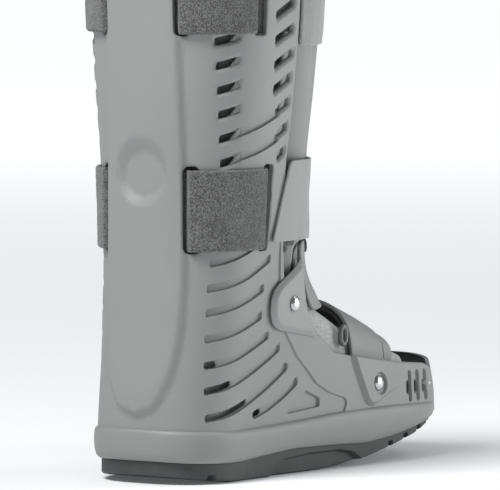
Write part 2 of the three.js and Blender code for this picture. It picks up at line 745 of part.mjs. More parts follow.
// Leg band: inside behind the spine, outside between its slots, inside behind the pillar, then over the panel.
function buildLegBand(low, spineOut, frontIn) {
  const out = LOOP_STANDOFF;
  const end = 113;
  const path = offsets([
    [spineOut[0], INSIDE],
    [spineOut[1], out],
    [frontIn[0], out],
    [frontIn[1], INSIDE],
  ]);
  const inner = (angle) => {
    const a = Math.abs(((angle + 180) % 360) - 180);
    return a > frontIn[1] ? panelFace(angle) + 2 * GAP : path(angle);
  };
  const stops = [0, 12, ...spineOut, 32, 36, 40, 44, 48, 53, 58, ...frontIn, 90, PILLAR_END, 106, 109.5, end].sort((a, b) => a - b);
  const angles = [...stops.slice(1).reverse().map((a) => -a), ...stops];
  const rings = angles.map((angle) => {
    const heights = [0, 0.5, 1].map((s) => low + s * STRAP_WIDTH);
    return [
      ...heights.map((h) => legPoint(angle, h, inner(angle))),
      ...heights.reverse().map((h) => legPoint(angle, h, inner(angle) + LOOP_THICKNESS)),
    ];
  });
  return patchLoft(rings);
}

// Closing tab: over the band's ends and the panel, from the left side round the front to the right.
function buildTab({ from, to, low, high, overShell }) {
  const overBand = (angle) => panelFace(angle) + LOOP_THICKNESS + 3 * GAP;
  const pillar = overShell ? GAP : overBand(PILLAR_END);
  const cover = offsets([
    [PILLAR_END, pillar],
    [113, Math.max(overBand(113), pillar)],
    [FRONT_START, overBand(116.5)],
    [132, 3 * GAP - PANEL_FRONT_INSET],
  ]);
  const shares = [0, 0.5, 1];
  const latest = Math.max(...shares.map(from));
  const rings = aroundFront(latest, to).map((angle, i) => {
    const heights = shares.map((r) => lerp(low, high, r));
    const angles = shares.map((r) => (i === 0 ? from(r) : angle));
    const at = (extra) => heights.map((h, k) => legPoint(angles[k], h, cover(angles[k]) + extra));
    return [...at(0), ...at(TAB_THICKNESS).reverse()];
  });
  return patchLoft(rings);
}

// Front panel: tucked in behind the shell's front edges, proud in front.
// Angles of the sections from the plate's hidden rear edge to the pillar.
const PANEL_SIDE_ANGLES = [78, 84, 92];

function buildPanel() {
  const sideLow = 0.317 * SHELL_TOP;
  const frontLow = 0.397 * SHELL_TOP;
  const high = 0.985 * SHELL_TOP;
  const lowAt = offsets([[PILLAR_END, sideLow], [113, frontLow]]);
  const topAt = offsets([[78, high - 8], [84, high], [180, high]]);
  const sides = PANEL_SIDE_ANGLES;
  const angles = [
    ...sides, ...aroundFront(PILLAR_END, FULL_TURN - PILLAR_END), ...sides.map((a) => FULL_TURN - a).reverse(),
  ];
  const rings = angles.map((angle) => {
    const heights = [0, 0.2, 0.45, 0.7, 1].map((s) => lerp(lowAt(angle), topAt(angle), s));
    return [
      ...heights.map((h) => legPoint(angle, h, panelFace(angle) - PANEL_WALL)),
      ...heights.reverse().map((h) => legPoint(angle, h, panelFace(angle))),
    ];
  });
  const slot = throughBoth([[y(0.161), z(0.378)], [y(0.18), z(0.378)], [y(0.18), z(0.3925)], [y(0.161), z(0.3925)]]);
  return patchLoft(rings).subtract(slot);
}

// Padded liner: a sock of even wall, open at the leg and at the toes.
function buildLiner() {
  const top = SHELL_TOP + LINER_ABOVE_SHELL;
  const rows = [0.08, 0.155, 0.195, 0.235, 0.28, 0.32, 0.42, 0.7, 1];
  const skin = (extra, count) =>
    solid(
      loft(
        rows.map((s, i) => {
          const h = i === rows.length - 1 ? top + (extra ? 5 : 0) : s * SHELL_TOP;
          return formRing(h, -linerSideInset(h) - extra, -linerFrontInset(h) - extra * (h < 0.3 * H ? 1.8 : 1), () => h, count);
        }),
      ),
    );
  const sole = underLine(midsoleTop, GAP * 2 + FLOOR_WALL, HALF_REACH);
  const bed = underLine(midsoleTop, GAP * 2 + FLOOR_WALL + LINER_FLOOR, HALF_REACH);
  const toe = throughBoth([[y(-0.6), LOW], [y(-0.325), LOW], [y(-0.325), z(0.4)], [y(-0.6), z(0.4)]]);
  return skin(0, 32).subtract(sole).subtract(skin(LINER_WALL, 32).subtract(bed)).subtract(toe);
}

// Ankle plate: a moulded wing riveted on the shell.
function buildPlate(side) {
  const outline = PLATE.map(([a, b]) => [y(a), z(b)]);
  const centre = [y(0.15), z(0.3)];
  const reach = Math.max(...outline.map(([a, b]) => Math.hypot(a - centre[0], b - centre[1])));
  const ringAt = (shrink, inset, off) =>
    outline.map(([a, b]) => {
      const length = Math.hypot(a - centre[0], b - centre[1]);
      const s = shrink * (1 - inset / length);
      const point = [lerp(centre[0], a, s), lerp(centre[1], b, s)];
      return [side * formPoint(sideT(point), point[1], off)[0], ...point];
    });
  const middle = (off) => [[side * formPoint(sideT(centre), centre[1], off)[0], ...centre]];
  const [inner, outer] = [GAP, GAP + PLATE_THICKNESS];
  const rings = [
    middle(inner), ringAt(0.35, 0, inner), ringAt(0.7, 0, inner), ringAt(1, 0, inner), ringAt(1, 0, outer - PLATE_BEVEL),
    ringAt(1, PLATE_BEVEL * 0.9, outer), ringAt(0.66, PLATE_BEVEL, outer), ringAt(0.33, PLATE_BEVEL, outer), middle(outer),
  ];
  const made = solid(loft(rings));
  const whole = made.volume() > 0 ? made : solid(loft(rings.map((r) => [...r].reverse())));
  return whole.subtract(crossHole(RIVETS[0].at, RIVET_SHANK_RADIUS + GAP));
}

// A layer of the form cut to a side outline.
function layer(outer, inner, outline, from, to, rows) {
  const heights = rows.map((r) => lerp(from, to, r));
  const rings = (off) => heights.map((h) => formRing(h, off));
  const longer = rings(inner);
  const moved = (ring, dz) => ring.map(([px, py, pz]) => [px, py, pz + dz]);
  const core = solid(loft([moved(longer[0], -5), ...longer, moved(longer.at(-1), 5)]));
  return solid(loft(rings(outer))).subtract(core).intersect(throughBoth(outline));
}

const ANKLE_STRAP_OUTLINE = [
  [0.145, 0.3775], [0.1, 0.3795], [-0.1, 0.392], [-0.12, 0.285], [0.0, 0.279], [0.07, 0.272], [0.096, 0.28],
  [0.112, 0.3], [0.135, 0.33],
];

function ankleLayer(outer, inner) {
  const outline = ANKLE_STRAP_OUTLINE.map(([a, b]) => [y(a), z(b)]);
  return layer(outer, inner, outline, 0.25 * H, 0.43 * H, [0, 0.2, 0.4, 0.6, 0.8, 1]);
}

// An arched band over the foot: rows by station, its legs down inside the walls.
const ARCH_BASE = 0.172 * SHELL_TOP;
function buildArch(rows, thickness, inset, footZ) {
  const steps = 16;
  const power = 2 / 4.4;
  const section = (row, drop) => {
    const [py, crest, half] = [y(row[0]), z(row[1]), row[2] * BALL_WIDTH];
    const rise = crest - drop - ARCH_BASE;
    const start = footZ > ARCH_BASE ? Math.asin(((footZ - ARCH_BASE) / rise) ** (1 / power)) : 0;
    const curve = Array.from({ length: steps + 1 }, (_, i) => {
      const a = lerp(start, Math.PI - start, i / steps);
      const c = Math.cos(a);
      return [-Math.sign(c) * (half - drop) * Math.abs(c) ** power, py, ARCH_BASE + rise * Math.sin(a) ** power];
    });
    if (footZ >= ARCH_BASE) return curve;
    const wall = (h) => formPoint(sideT([py, h]), h, -SHELL_WALL - 2 * GAP)[0] - drop;
    const levels = [footZ, lerp(footZ, ARCH_BASE, 0.7)];
    return [
      ...levels.map((h) => [-wall(h), py, h]),
      ...curve,
      ...levels.reverse().map((h) => [wall(h), py, h]),
    ];
  };
  const outer = rows.map((row) => section(row, inset));
  const inner = rows.map((row) => section(row, inset + thickness));
  const rings = outer[0].map((_, i) => [...outer.map((r) => r[i]), ...inner.map((r) => r[i]).reverse()]);
  return patchLoft(rings);
}

// Domed rivet along x: head outside, shank through the walls, flat foot inside.
function buildRivet([py, pz], side, face, back) {
  const [r, h] = [RIVET_HEAD_RADIUS, RIVET_HEAD_HEIGHT];
  const shank = RIVET_SHANK_RADIUS;
  const foot = r * 0.8;
  const profile = [
    [0, back - RIVET_FOOT_THICKNESS], [foot, back - RIVET_FOOT_THICKNESS], [foot, back], [shank, back],
    [shank, face], [r, face], [r, face + 0.3 * h], [0.72 * r, face + 0.78 * h], [0, face + h],
  ].map(([a, b]) => new THREE.Vector2(a, b));
  const geometry = new THREE.LatheGeometry(profile, 12);
  geometry.rotateZ(-Math.PI / 2);
  if (side < 0) geometry.rotateZ(Math.PI);
  geometry.translate(0, py, pz);
  return solid(geometry);
}

// An oval ring of round wire; place maps a flat point and a height over the plane to the world.
function buildRing(halfA, halfB, place) {
  const [around, sides] = [16, 6];
  const wire = RING_WIRE / 2;
  const rings = Array.from({ length: sides + 1 }, (_, j) => {
    const b = (2 * Math.PI * j) / sides;
    return Array.from({ length: around }, (_, i) => {
      const a = (2 * Math.PI * i) / around;
      const out = wire * Math.cos(b);
      return place((halfA + out) * Math.cos(a), (halfB + out) * Math.sin(a), wire * Math.sin(b));
    });
  });
  const points = rings.slice(0, -1).flat();
  const triangles = [];
  for (let j = 0; j < sides; j++)
    for (let i = 0; i < around; i++) {
      const [a, b] = [j * around + i, j * around + ((i + 1) % around)];
      const [c, d] = [((j + 1) % sides) * around + i, ((j + 1) % sides) * around + ((i + 1) % around)];
      triangles.push([a, b, d], [a, d, c]);
    }
  const geometry = new THREE.BufferGeometry();
  geometry.setAttribute("position", new THREE.Float32BufferAttribute(points.flat(), 3));
  geometry.setIndex(triangles.flat());
  const made = solid(geometry);
  if (made.volume() > 0) return made;
  geometry.setIndex(triangles.map(([a, b, c]) => [a, c, b]).flat());
  return solid(geometry);
}

const group = new THREE.Group();
group.name = "medical_walking_boot";

function add(name, manifold, color, roughness, metalness = 0, parent = group) {
  const mesh = new THREE.Mesh(
    toGeometry(manifold),
    new THREE.MeshStandardMaterial({ color, roughness, metalness }),
  );
  mesh.name = name;
  parent.add(mesh);
}

const base = new THREE.Group();
base.name = "base";
const body = new THREE.Group();
body.name = "body";
const closures = new THREE.Group();
closures.name = "closures";
group.add(base, body, closures);

add("outsole", buildOutsole(), 0x4b4d4c, 0.9, 0, base);
add("midsole", buildMidsole(), 0x8c8e8c, 0.7, 0, base);
add("shell", buildShell(), 0x979997, 0.6, 0, body);
add("front_panel", buildPanel(), 0x9fa19f, 0.6, 0, body);
add("liner", buildLiner(), 0xa6a8a6, 0.95, 0, body);

add("top_strap", buildLegBand(TOP_BAND_LOW, [20.8, 27], [60.4, 66.6]), 0x5f615f, 1, 0, closures);
add("mid_strap", buildLegBand(MID_BAND_LOW, [24.6, 31], [73.2, 81]), 0x5f615f, 1, 0, closures);
// Angles at which each tab ends: the lower tab's left edge slants from its low corner to its high one.
const TAB_END = { top: 248, mid: 256 };
const MID_TAB_START = { low: 84, high: 99 };
add(
  "top_strap_tab",
  buildTab({ from: () => PILLAR_END + 2.5, to: TAB_END.top, low: 0.727 * H, high: 0.727 * H + STRAP_WIDTH + 4, overShell: false }),
  0xafb2af, 0.9, 0, closures,
);
add(
  "mid_strap_tab",
  buildTab({
    from: (r) => lerp(MID_TAB_START.low, MID_TAB_START.high, r), to: TAB_END.mid,
    low: 0.3985 * H, high: 0.3985 * H + STRAP_WIDTH, overShell: true,
  }),
  0xafb2af, 0.9, 0, closures,
);

add("ankle_plate_left", buildPlate(-1), 0x979997, 0.6, 0, closures);
add("ankle_plate_right", buildPlate(1), 0x979997, 0.6, 0, closures);
const ankleOuter = -2 * GAP;
const ankleInner = ankleOuter - ANKLE_STRAP_THICKNESS;
add("ankle_strap", ankleLayer(ankleOuter, ankleInner), 0x878987, 0.85, 0, closures);
add(
  "ankle_strap_lining",
  ankleLayer(ankleInner - GAP, ankleInner - GAP - ANKLE_LINING_THICKNESS),
  0x9a9c9a, 1, 0, closures,
);
const forefootStrap = buildArch(FOREFOOT, FOREFOOT_THICKNESS, 0, z(0.118));
const forefootHole = crossHole(RIVETS[1].at, RIVET_SHANK_RADIUS + GAP);
add("forefoot_strap", forefootStrap.subtract(forefootHole), 0x858785, 0.85, 0, closures);
add(
  "forefoot_strap_lining",
  buildArch(FOREFOOT, FOREFOOT_LINING_THICKNESS, FOREFOOT_THICKNESS + 2 * GAP, z(0.222)),
  0x1d1e1d, 0.9, 0, closures,
);
add("forefoot_strap_end", buildArch(FOREFOOT_END, FOREFOOT_THICKNESS, 0, z(0.172)), 0x858785, 0.85, 0, closures);

for (const [side, name] of [[-1, "left"], [1, "right"]]) {
  const [ankle, forefoot] = RIVETS.map(({ at }) => at);
  const reach = (at, off) => formPoint(sideT(at), at[1], off)[0];
  const plateFace = reach(ankle, GAP * 2 + PLATE_THICKNESS + GAP);
  add(
    "ankle_rivet_" + name,
    buildRivet(ankle, side, plateFace, reach(ankle, -SHELL_WALL - GAP)),
    0xd9dbdb, 0.2, 1, closures,
  );
  add(
    "forefoot_rivet_" + name,
    buildRivet(forefoot, side, reach(forefoot, -RELIEF + GAP), reach(forefoot, -SHELL_WALL - 4 * GAP - FOREFOOT_THICKNESS)),
    0xd9dbdb, 0.2, 1, closures,
  );
}

// Black oval ring on the ankle strap, seen under the closing tab.
const ankleRingAt = [143, 0.3785 * H];
add(
  "ankle_ring",
  buildRing(5.5, 4, (a, b, out) => {
    const off = ankleOuter + 2 * GAP + RING_WIRE / 2 + out;
    return legPoint(ankleRingAt[0] + a * 1.1, ankleRingAt[1] + b, off);
  }),
  0x151515, 0.5, 0, closures,
);

// Grey ring hanging at the rear edge of the forefoot strap.
const forefootRingAt = [-0.391 * W, -0.076 * L, 0.2245 * H];
add(
  "forefoot_ring",
  buildRing(5.2, 6.4, (a, b, out) => [forefootRingAt[0] - out, forefootRingAt[1] + a, forefootRingAt[2] + b]),
  0x7c7e7c, 0.5, 0, closures,
);

// Light tie end in the front toe slot.
const tieAt = [y(-0.3716), 0.1275 * H];
const tieFace = formPoint(sideT(tieAt), tieAt[1], -RELIEF)[0];
add("toe_tie", disc(tieAt, TOE_HOLE_WIDTH / 2 - 2 * GAP, -1, tieFace - 5, tieFace + 2.6, 10), 0xe4e6e4, 0.6, 0, closures);

export default group;
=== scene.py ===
import math

import bmesh
import bpy
import numpy as np
from mathutils import Matrix, Vector, noise


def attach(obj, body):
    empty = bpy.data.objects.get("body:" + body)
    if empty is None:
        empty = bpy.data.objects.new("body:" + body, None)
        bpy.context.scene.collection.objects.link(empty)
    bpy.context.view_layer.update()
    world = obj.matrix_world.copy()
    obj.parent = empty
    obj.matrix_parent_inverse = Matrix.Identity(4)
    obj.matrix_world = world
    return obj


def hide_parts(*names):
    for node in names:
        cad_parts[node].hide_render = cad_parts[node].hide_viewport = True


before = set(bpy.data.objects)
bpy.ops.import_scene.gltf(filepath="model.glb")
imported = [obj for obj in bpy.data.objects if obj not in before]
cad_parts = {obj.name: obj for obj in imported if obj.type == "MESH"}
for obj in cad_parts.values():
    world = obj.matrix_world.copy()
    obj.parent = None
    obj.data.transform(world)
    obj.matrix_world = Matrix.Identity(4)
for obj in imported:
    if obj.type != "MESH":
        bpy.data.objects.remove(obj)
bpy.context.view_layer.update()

# Camera.
# It stands low and a long way behind the boot's left side, so the picture is almost
# without perspective and shows the back, the left side and the toe.
def put_in_scene(name, data):
    """Makes an object of a mesh, camera or light and adds it to the scene."""
    made = bpy.data.objects.new(name, data)
    bpy.context.scene.collection.objects.link(made)
    return made


camera_data = bpy.data.cameras.new("camera")
camera = put_in_scene("camera", camera_data)
bpy.context.scene.camera = camera
camera_distance, camera_height = 4.5, 0.45
camera_bearing, look_bearing, look_down = (math.radians(angle) for angle in (214, 214.126, 3.934))
camera.location = (
    math.sin(camera_bearing) * camera_distance, -math.cos(camera_bearing) * camera_distance, camera_height,
)
camera.rotation_euler = (math.pi / 2 - look_down, 0, look_bearing)
camera_data.lens = 510.5
camera_data.sensor_width = 36
camera_data.clip_end = 60

# Outsole.
# Dark moulded rubber, bonded under the midsole. Its bottom is a rocker that lifts at heel
# and toe, with an arched recess at the waist on each side and grooves across the tread.

# The whole boot follows one form, in millimetres: its outline seen from above at each
# height is a curve round the back, a nearly straight side and a curve round the front.
FORM_SECTIONS = (
    # height, back, back corner, half width, front corner, half width, front, roundness
    (10.5, 145, 98, 47, -72, 57, -145, 2.6, 2.7),
    (29.5, 144, 98, 47, -72, 56, -145, 2.6, 2.7),
    (60.5, 142, 94, 47, -66, 53, -143, 2.6, 3.0),
    (76.5, 140, 90, 48, -30, 50, -78, 2.6, 2.6),
    (92.5, 138, 88, 49, 5, 49.5, -42, 2.6, 2.6),
    (106.5, 137, 85, 50, 30, 50, -14, 2.6, 2.6),
    (136.5, 135, 80, 51.5, 55, 51.5, 2, 2.6, 2.6),
    (196.5, 135, 72, 56, 64, 56, 4, 2.6, 2.6),
    (246.5, 136.5, 71, 60, 64, 60, -1, 2.65, 2.65),
    (296.5, 138, 70, 63, 64, 63, -5, 2.7, 2.7),
    (392.5, 140, 70, 66, 64, 66, -8, 2.7, 2.7),
)
SOLE_LINES = (
    # station, underside of the outsole, underside of the midsole, top of the midsole
    (-150, 26.5, 29.4, 35), (-116, 20.8, 24.5, 35.2), (-90, 15, 20.4, 35.8),
    (-66, 10, 17, 36.4), (-50, 7.2, 15.4, 36.6), (-34, 4.5, 14.4, 36.6),
    (-10, 1.4, 15.2, 36.2), (20, 0, 16, 34.8), (36, 0, 16.2, 34), (70, 0, 14.2, 32.8),
    (100, 0, 12.4, 32.4), (116, 1.5, 12.8, 32.8), (133, 4, 13.5, 33.6), (150, 6.9, 15.3, 34.8),
)


def smooth_curve(rows):
    """Monotone cubic curves through a table whose first column rises."""
    rows = np.array(rows, float)
    at, values = rows[:, 0], rows[:, 1:]
    steps = np.diff(at)[:, None]
    slopes = np.diff(values, axis=0) / steps
    before, after = slopes[:-1], slopes[1:]
    total = np.where(before + after == 0, 1, before + after)
    middle = np.where(before * after > 0, 2 * before * after / total, 0)
    tangents = np.vstack([slopes[:1], middle, slopes[-1:]])

    def curve(where):
        where = np.clip(np.asarray(where, float), at[0], at[-1])
        i = np.clip(np.searchsorted(at, where) - 1, 0, len(at) - 2)
        h = steps[i, 0][..., None]
        s = (where[..., None] - at[i][..., None]) / h
        return (
            (2 * s**3 - 3 * s**2 + 1) * values[i] + (s**3 - 2 * s**2 + s) * h * tangents[i]
            + (3 * s**2 - 2 * s**3) * values[i + 1] + (s**3 - s**2) * h * tangents[i + 1]
        )

    return curve


form_curve = smooth_curve(FORM_SECTIONS)
sole_curve = smooth_curve(SOLE_LINES)


def form_outline(part, height, out=0.0, front_out=None):
    """Half width and station of the form's outline; part runs 0 at the heel to 3 at the toe."""
    front_out = out if front_out is None else front_out
    part, height, out, front_out = np.broadcast_arrays(part, height, out, front_out)
    back, back_y, back_half, front_y, front_half, front, back_round, front_round = np.moveaxis(
        form_curve(height), -1, 0
    )
    quarter = np.clip(part, 0, 1) * math.pi / 2
    rear_x = (back_half + out) * np.sin(quarter) ** (2 / back_round)
    rear_y = back_y + (back + out - back_y) * np.cos(quarter) ** (2 / back_round)
    s = np.clip(part - 1, 0, 1)
    ease = s * s * (3 - 2 * s)
    side_x = back_half + (front_half - back_half) * ease + out
    side_y = back_y + (front_y - back_y) * s
    quarter = np.clip(part - 2, 0, 1) * math.pi / 2
    fore_x = (front_half + out) * np.clip(np.cos(quarter), 0, 1) ** (2 / front_round)
    fore_y = front_y - (front_y - front + front_out) * np.sin(quarter) ** (2 / front_round)
    x = np.where(part <= 1, rear_x, np.where(part <= 2, side_x, fore_x))
    y = np.where(part <= 1, rear_y, np.where(part <= 2, side_y, fore_y))
    return x, y


def part_where(height, measure, wanted):
    """The outline part, 0 to 3, at which a rising measure of x and y reaches a wanted value."""
    height, wanted = np.broadcast_arrays(np.asarray(height, float), wanted)
    low, high = np.zeros(height.shape), np.full(height.shape, 3.0)
    for _ in range(26):
        middle = (low + high) / 2
        short = measure(*form_outline(middle, height)) < wanted
        low, high = np.where(short, middle, low), np.where(short, high, middle)
    return (low + high) / 2


def share_to_part(shares, height, out=0.0):
    """Parts of the outline that lie at even shares of its length, at one height."""
    fine = np.linspace(0, 3, 361)
    x, y = form_outline(fine, height, out)
    length = np.concatenate([[0], np.cumsum(np.hypot(np.diff(x), np.diff(y)))])
    return np.interp(shares, length / length[-1], fine)


EVEN_SHARES = 300
even_heights = np.linspace(8, 393, 330)
even_parts = np.array([
    share_to_part(np.linspace(0, 1, EVEN_SHARES + 1), height) for height in even_heights
])


def even_part(share, height):
    """The outline part at a share of the half outline's length, for many heights at once."""
    up = (height - even_heights[0]) / (even_heights[1] - even_heights[0])
    up = np.clip(up, 0, len(even_heights) - 1.001)
    column = np.clip(share * EVEN_SHARES, 0, EVEN_SHARES - 0.0001)
    row, i = up.astype(int), column.astype(int)
    up, across = up - row, column - i
    lower = even_parts[row, i] * (1 - across) + even_parts[row, i + 1] * across
    upper = even_parts[row + 1, i] * (1 - across) + even_parts[row + 1, i + 1] * across
    return lower * (1 - up) + upper * up


def places(bm):
    """The bmesh's vertex places as an array."""
    return np.array([v.co for v in bm.verts])


def put(bm, points):
    """Moves each vertex to its point."""
    for vertex, point in zip(bm.verts, points):
        vertex.co = point


def flat_sheet(columns, rows, x_range, y_range):
    """A flat grid between two x and two y values, seen from +Z."""
    bm = bmesh.new()
    bmesh.ops.create_grid(bm, x_segments=columns, y_segments=rows, size=0.5)
    middle = Vector((sum(x_range) / 2, sum(y_range) / 2, 0))
    bmesh.ops.scale(bm, vec=(x_range[1] - x_range[0], y_range[1] - y_range[0], 1), verts=bm.verts)
    bmesh.ops.translate(bm, vec=middle, verts=bm.verts)
    return bm


ON_THE_LINE, SLIVER_SHARE = 1e-4, 0.16


def cut_along(bm, field, level=0.0, keep=None):
    """Runs edges along the line where field crosses level; keep 1 or -1 drops the other side."""
    bm.verts.ensure_lookup_table()
    marks = bm.verts.layers.int.get("on_line") or bm.verts.layers.int.new("on_line")
    value = dict(zip(bm.verts, field(places(bm)) - level))
    for vertex, number in value.items():
        if abs(number) < ON_THE_LINE:
            value[vertex] = 0.0
    crossing = []
    for edge in bm.edges:
        a, b = edge.verts
        if value[a] * value[b] < 0:
            crossing.append((value[a] / (value[a] - value[b]), edge))
    # A vertex very near the line moves onto it, so that no thin sliver is made.
    for share, edge in sorted(crossing, key=lambda item: min(item[0], 1 - item[0])):
        a, b = edge.verts
        near, far, part = (a, b, share) if share < 0.5 else (b, a, 1 - share)
        if part > SLIVER_SHARE:
            break
        if value[a] * value[b] < 0 and not near[marks] and not near.is_boundary:
            near.co = near.co.lerp(far.co, part)
            value[near] = 0.0
    for share, edge in crossing:
        a, b = edge.verts
        if value[a] * value[b] < 0:
            _, made = bmesh.utils.edge_split(edge, a, share)
            value[made] = 0.0
    for vertex, number in value.items():
        if number == 0.0:
            vertex[marks] = 1
    spanning = [f for f in bm.faces if min(value[v] for v in f.verts) < 0 < max(value[v] for v in f.verts)]
    for face in spanning:
        waiting = [face]
        while waiting:
            piece = waiting.pop()
            ring = [value[v] for v in piece.verts]
            if not min(ring) < 0 < max(ring):
                continue
            n = len(ring)
            start = next(i for i in range(n) if ring[i] == 0 and ring[(i + 1) % n] < 0)
            end = next(j for j in range(start + 2, start + n) if ring[j % n] >= 0)
            made, _ = bmesh.utils.face_split(piece, piece.verts[start], piece.verts[end % n])
            waiting += [piece, made]
    if keep:
        side = [f for f in bm.faces if keep * sum(value[v] for v in f.verts) < 0]
        bmesh.ops.delete(bm, geom=side, context="FACES")


def distance_to_outline(points, outline, closed=True):
    """Distance of plane points to a polygon, negative inside it; always positive if it is open."""
    outline = np.asarray(outline, float)
    ends = np.roll(outline, -1, axis=0) if closed else outline[1:]
    starts = outline if closed else outline[:-1]
    best = np.full(len(points), 1e9)
    inside = np.zeros(len(points), bool)
    for (ax, ay), (bx, by) in zip(starts, ends):
        dx, dy = bx - ax, by - ay
        px, py = points[:, 0] - ax, points[:, 1] - ay
        s = np.clip((px * dx + py * dy) / max(dx * dx + dy * dy, 1e-9), 0, 1)
        best = np.minimum(best, np.hypot(px - s * dx, py - s * dy))
        if closed:
            spans = (ay > points[:, 1]) != (by > points[:, 1])
            with np.errstate(divide="ignore", invalid="ignore"):
                crosses = points[:, 0] < dx * (points[:, 1] - ay) / dy + ax
            inside ^= spans & crosses
    return np.where(inside, -best, best)


class Line:
    """An output of a material's nodes that Python sums can use."""

    def __init__(self, finish, socket):
        self.finish, self.socket = finish, socket

    def reckon(self, operation, *others):
        return self.finish.node("Math", {"operation": operation}, dict(enumerate((self, *others))))

    def __add__(self, other):
        return self.reckon("ADD", other)

    def __sub__(self, other):
        return self.reckon("SUBTRACT", other)

    def __mul__(self, other):
        return self.reckon("MULTIPLY", other)

    def __rsub__(self, other):
        return self.finish.node("Math", {"operation": "SUBTRACT"}, {0: other, 1: self})

    __radd__, __rmul__ = __add__, __mul__


class Finish:
    """A material: its Principled shader and the nodes that feed it."""

    def __init__(self, name, **sockets):
        self.material = bpy.data.materials.new(name)
        self.material.use_nodes = True
        self.tree = self.material.node_tree
        self.shader = self.tree.nodes["Principled BSDF"]
        self.feed(**sockets)
        self.spot = self.node("TexCoord", out="Object")

    def set(self, socket, value):
        """Links a socket, or gives it a plain value."""
        if isinstance(value, Line):
            self.tree.links.new(value.socket, socket)
        elif socket.type == "RGBA" and len(value) == 3:
            socket.default_value = (*value, 1)
        else:
            socket.default_value = value

    def node(self, kind, settings=None, sockets=None, out=0):
        """Adds a node, with its settings first and then its sockets, and hands back one output."""
        made = self.tree.nodes.new("ShaderNode" + kind)
        for name, value in (settings or {}).items():
            if name == "stops":
                for element, (place, shade) in zip(made.color_ramp.elements, value):
                    element.position, element.color = place, (shade, shade, shade, 1)
            else:
                setattr(made, name, value)
        for name, value in (sockets or {}).items():
            self.set(made.inputs[name], value)
        return Line(self, made.outputs[out])

    def grain(self, scale, detail=2.0, rough=0.5, where=None, stretch=None):
        """Noise of a size given in features to the metre."""
        where = where or self.spot
        if stretch:
            where = self.node("Mapping", None, {"Vector": where, "Scale": stretch})
        sockets = {"Vector": where, "Scale": scale, "Detail": detail, "Roughness": rough}
        return self.node("TexNoise", None, sockets)

    def ramp(self, value, *stops):
        """Grey levels between two stops, each a place and a level."""
        return self.node("ValToRGB", {"stops": stops}, {0: value})

    def blend(self, share, first, second):
        """The first colour where share is 0, the second where it is 1."""
        return self.node("Mix", {"data_type": "RGBA"}, {0: share, 6: first, 7: second}, out=2)

    def bump(self, height, distance, strength):
        return self.node("Bump", None, {"Height": height, "Distance": distance, "Strength": strength})

    def feed(self, **sockets):
        """Gives the shader its sockets, named with underscores for spaces."""
        for socket, value in sockets.items():
            self.set(self.shader.inputs[socket.replace("_", " ").title()], value)
        return self


def finish_piece(bm, name, finish, nodes, smooth):
    """Makes the bmesh, in millimetres, one object in metres that stands for its CAD nodes."""
    bmesh.ops.scale(bm, vec=(0.001, 0.001, 0.001), verts=bm.verts)
    mesh = bpy.data.meshes.new(name)
    bm.to_mesh(mesh)
    bm.free()
    piece = put_in_scene(name, mesh)
    mesh.materials.append(finish.material)
    mesh.shade_smooth()
    mesh.set_sharp_from_angle(angle=math.radians(smooth))
    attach(piece, "root")
    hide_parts(*nodes)
    return piece


def around(bm):
    """Joins the seams of a sheet that has been bent right round."""
    bmesh.ops.remove_doubles(bm, verts=bm.verts, dist=0.02)


OUTSOLE_INSET, OUTSOLE_ROUNDING, OUTSOLE_RISE = 2.5, 2.2, 1.2
OUTSOLE_EDGE_HEIGHT, MIDSOLE_GAP, OUTSOLE_WALL_ROWS = 14, 0.3, 7
TREAD_GROOVES = (120.6, -62.8, -80.3, -97.8, -115.3)
GROOVE_HALF, TREAD_DEPTH, TREAD_SLOPE = 2.4, 3.2, 0.9
TOE_GROOVE_HALF, TOE_GROOVE_MIDDLE, TOE_GROOVE_REACH = 1.6, -88, 34
WAIST_OUTLINE = (
    (68, -8), (58.4, 6), (47.3, 10.4), (24, 12.4), (-8.8, 12.4), (-22, 10), (-32, 4.5), (-36, -8),
)
WAIST_DEPTH, WAIST_SLOPE, WAIST_SIDE, WAIST_TOP = 3.4, 1.6, 38, 15


def plan_outline(height, out, count=300):
    """The form's closed outline seen from above."""
    parts = share_to_part(np.linspace(0, 1, count // 2 + 1), height, out)
    x, y = form_outline(parts, height, out)
    left = np.column_stack([-x, y])
    right = np.column_stack([x, y])[::-1]
    return np.vstack([left, right[1:-1]])


def tread_field(p):
    """Distance to the grooves across the tread and the one along the toe."""
    across = np.min([np.abs(p[:, 1] - at) for at in TREAD_GROOVES], axis=0) - GROOVE_HALF
    reach = np.abs(p[:, 1] - TOE_GROOVE_MIDDLE) - TOE_GROOVE_REACH
    return np.minimum(across, np.maximum(np.abs(p[:, 0]) - TOE_GROOVE_HALF, reach))


def waist_field(p):
    """Distance to the arched recess, on the low part of each side."""
    shape = distance_to_outline(p[:, 1:], WAIST_OUTLINE)
    on_side = (np.abs(p[:, 0]) > WAIST_SIDE) & (p[:, 2] < WAIST_TOP)
    return np.where(on_side, shape, 9)


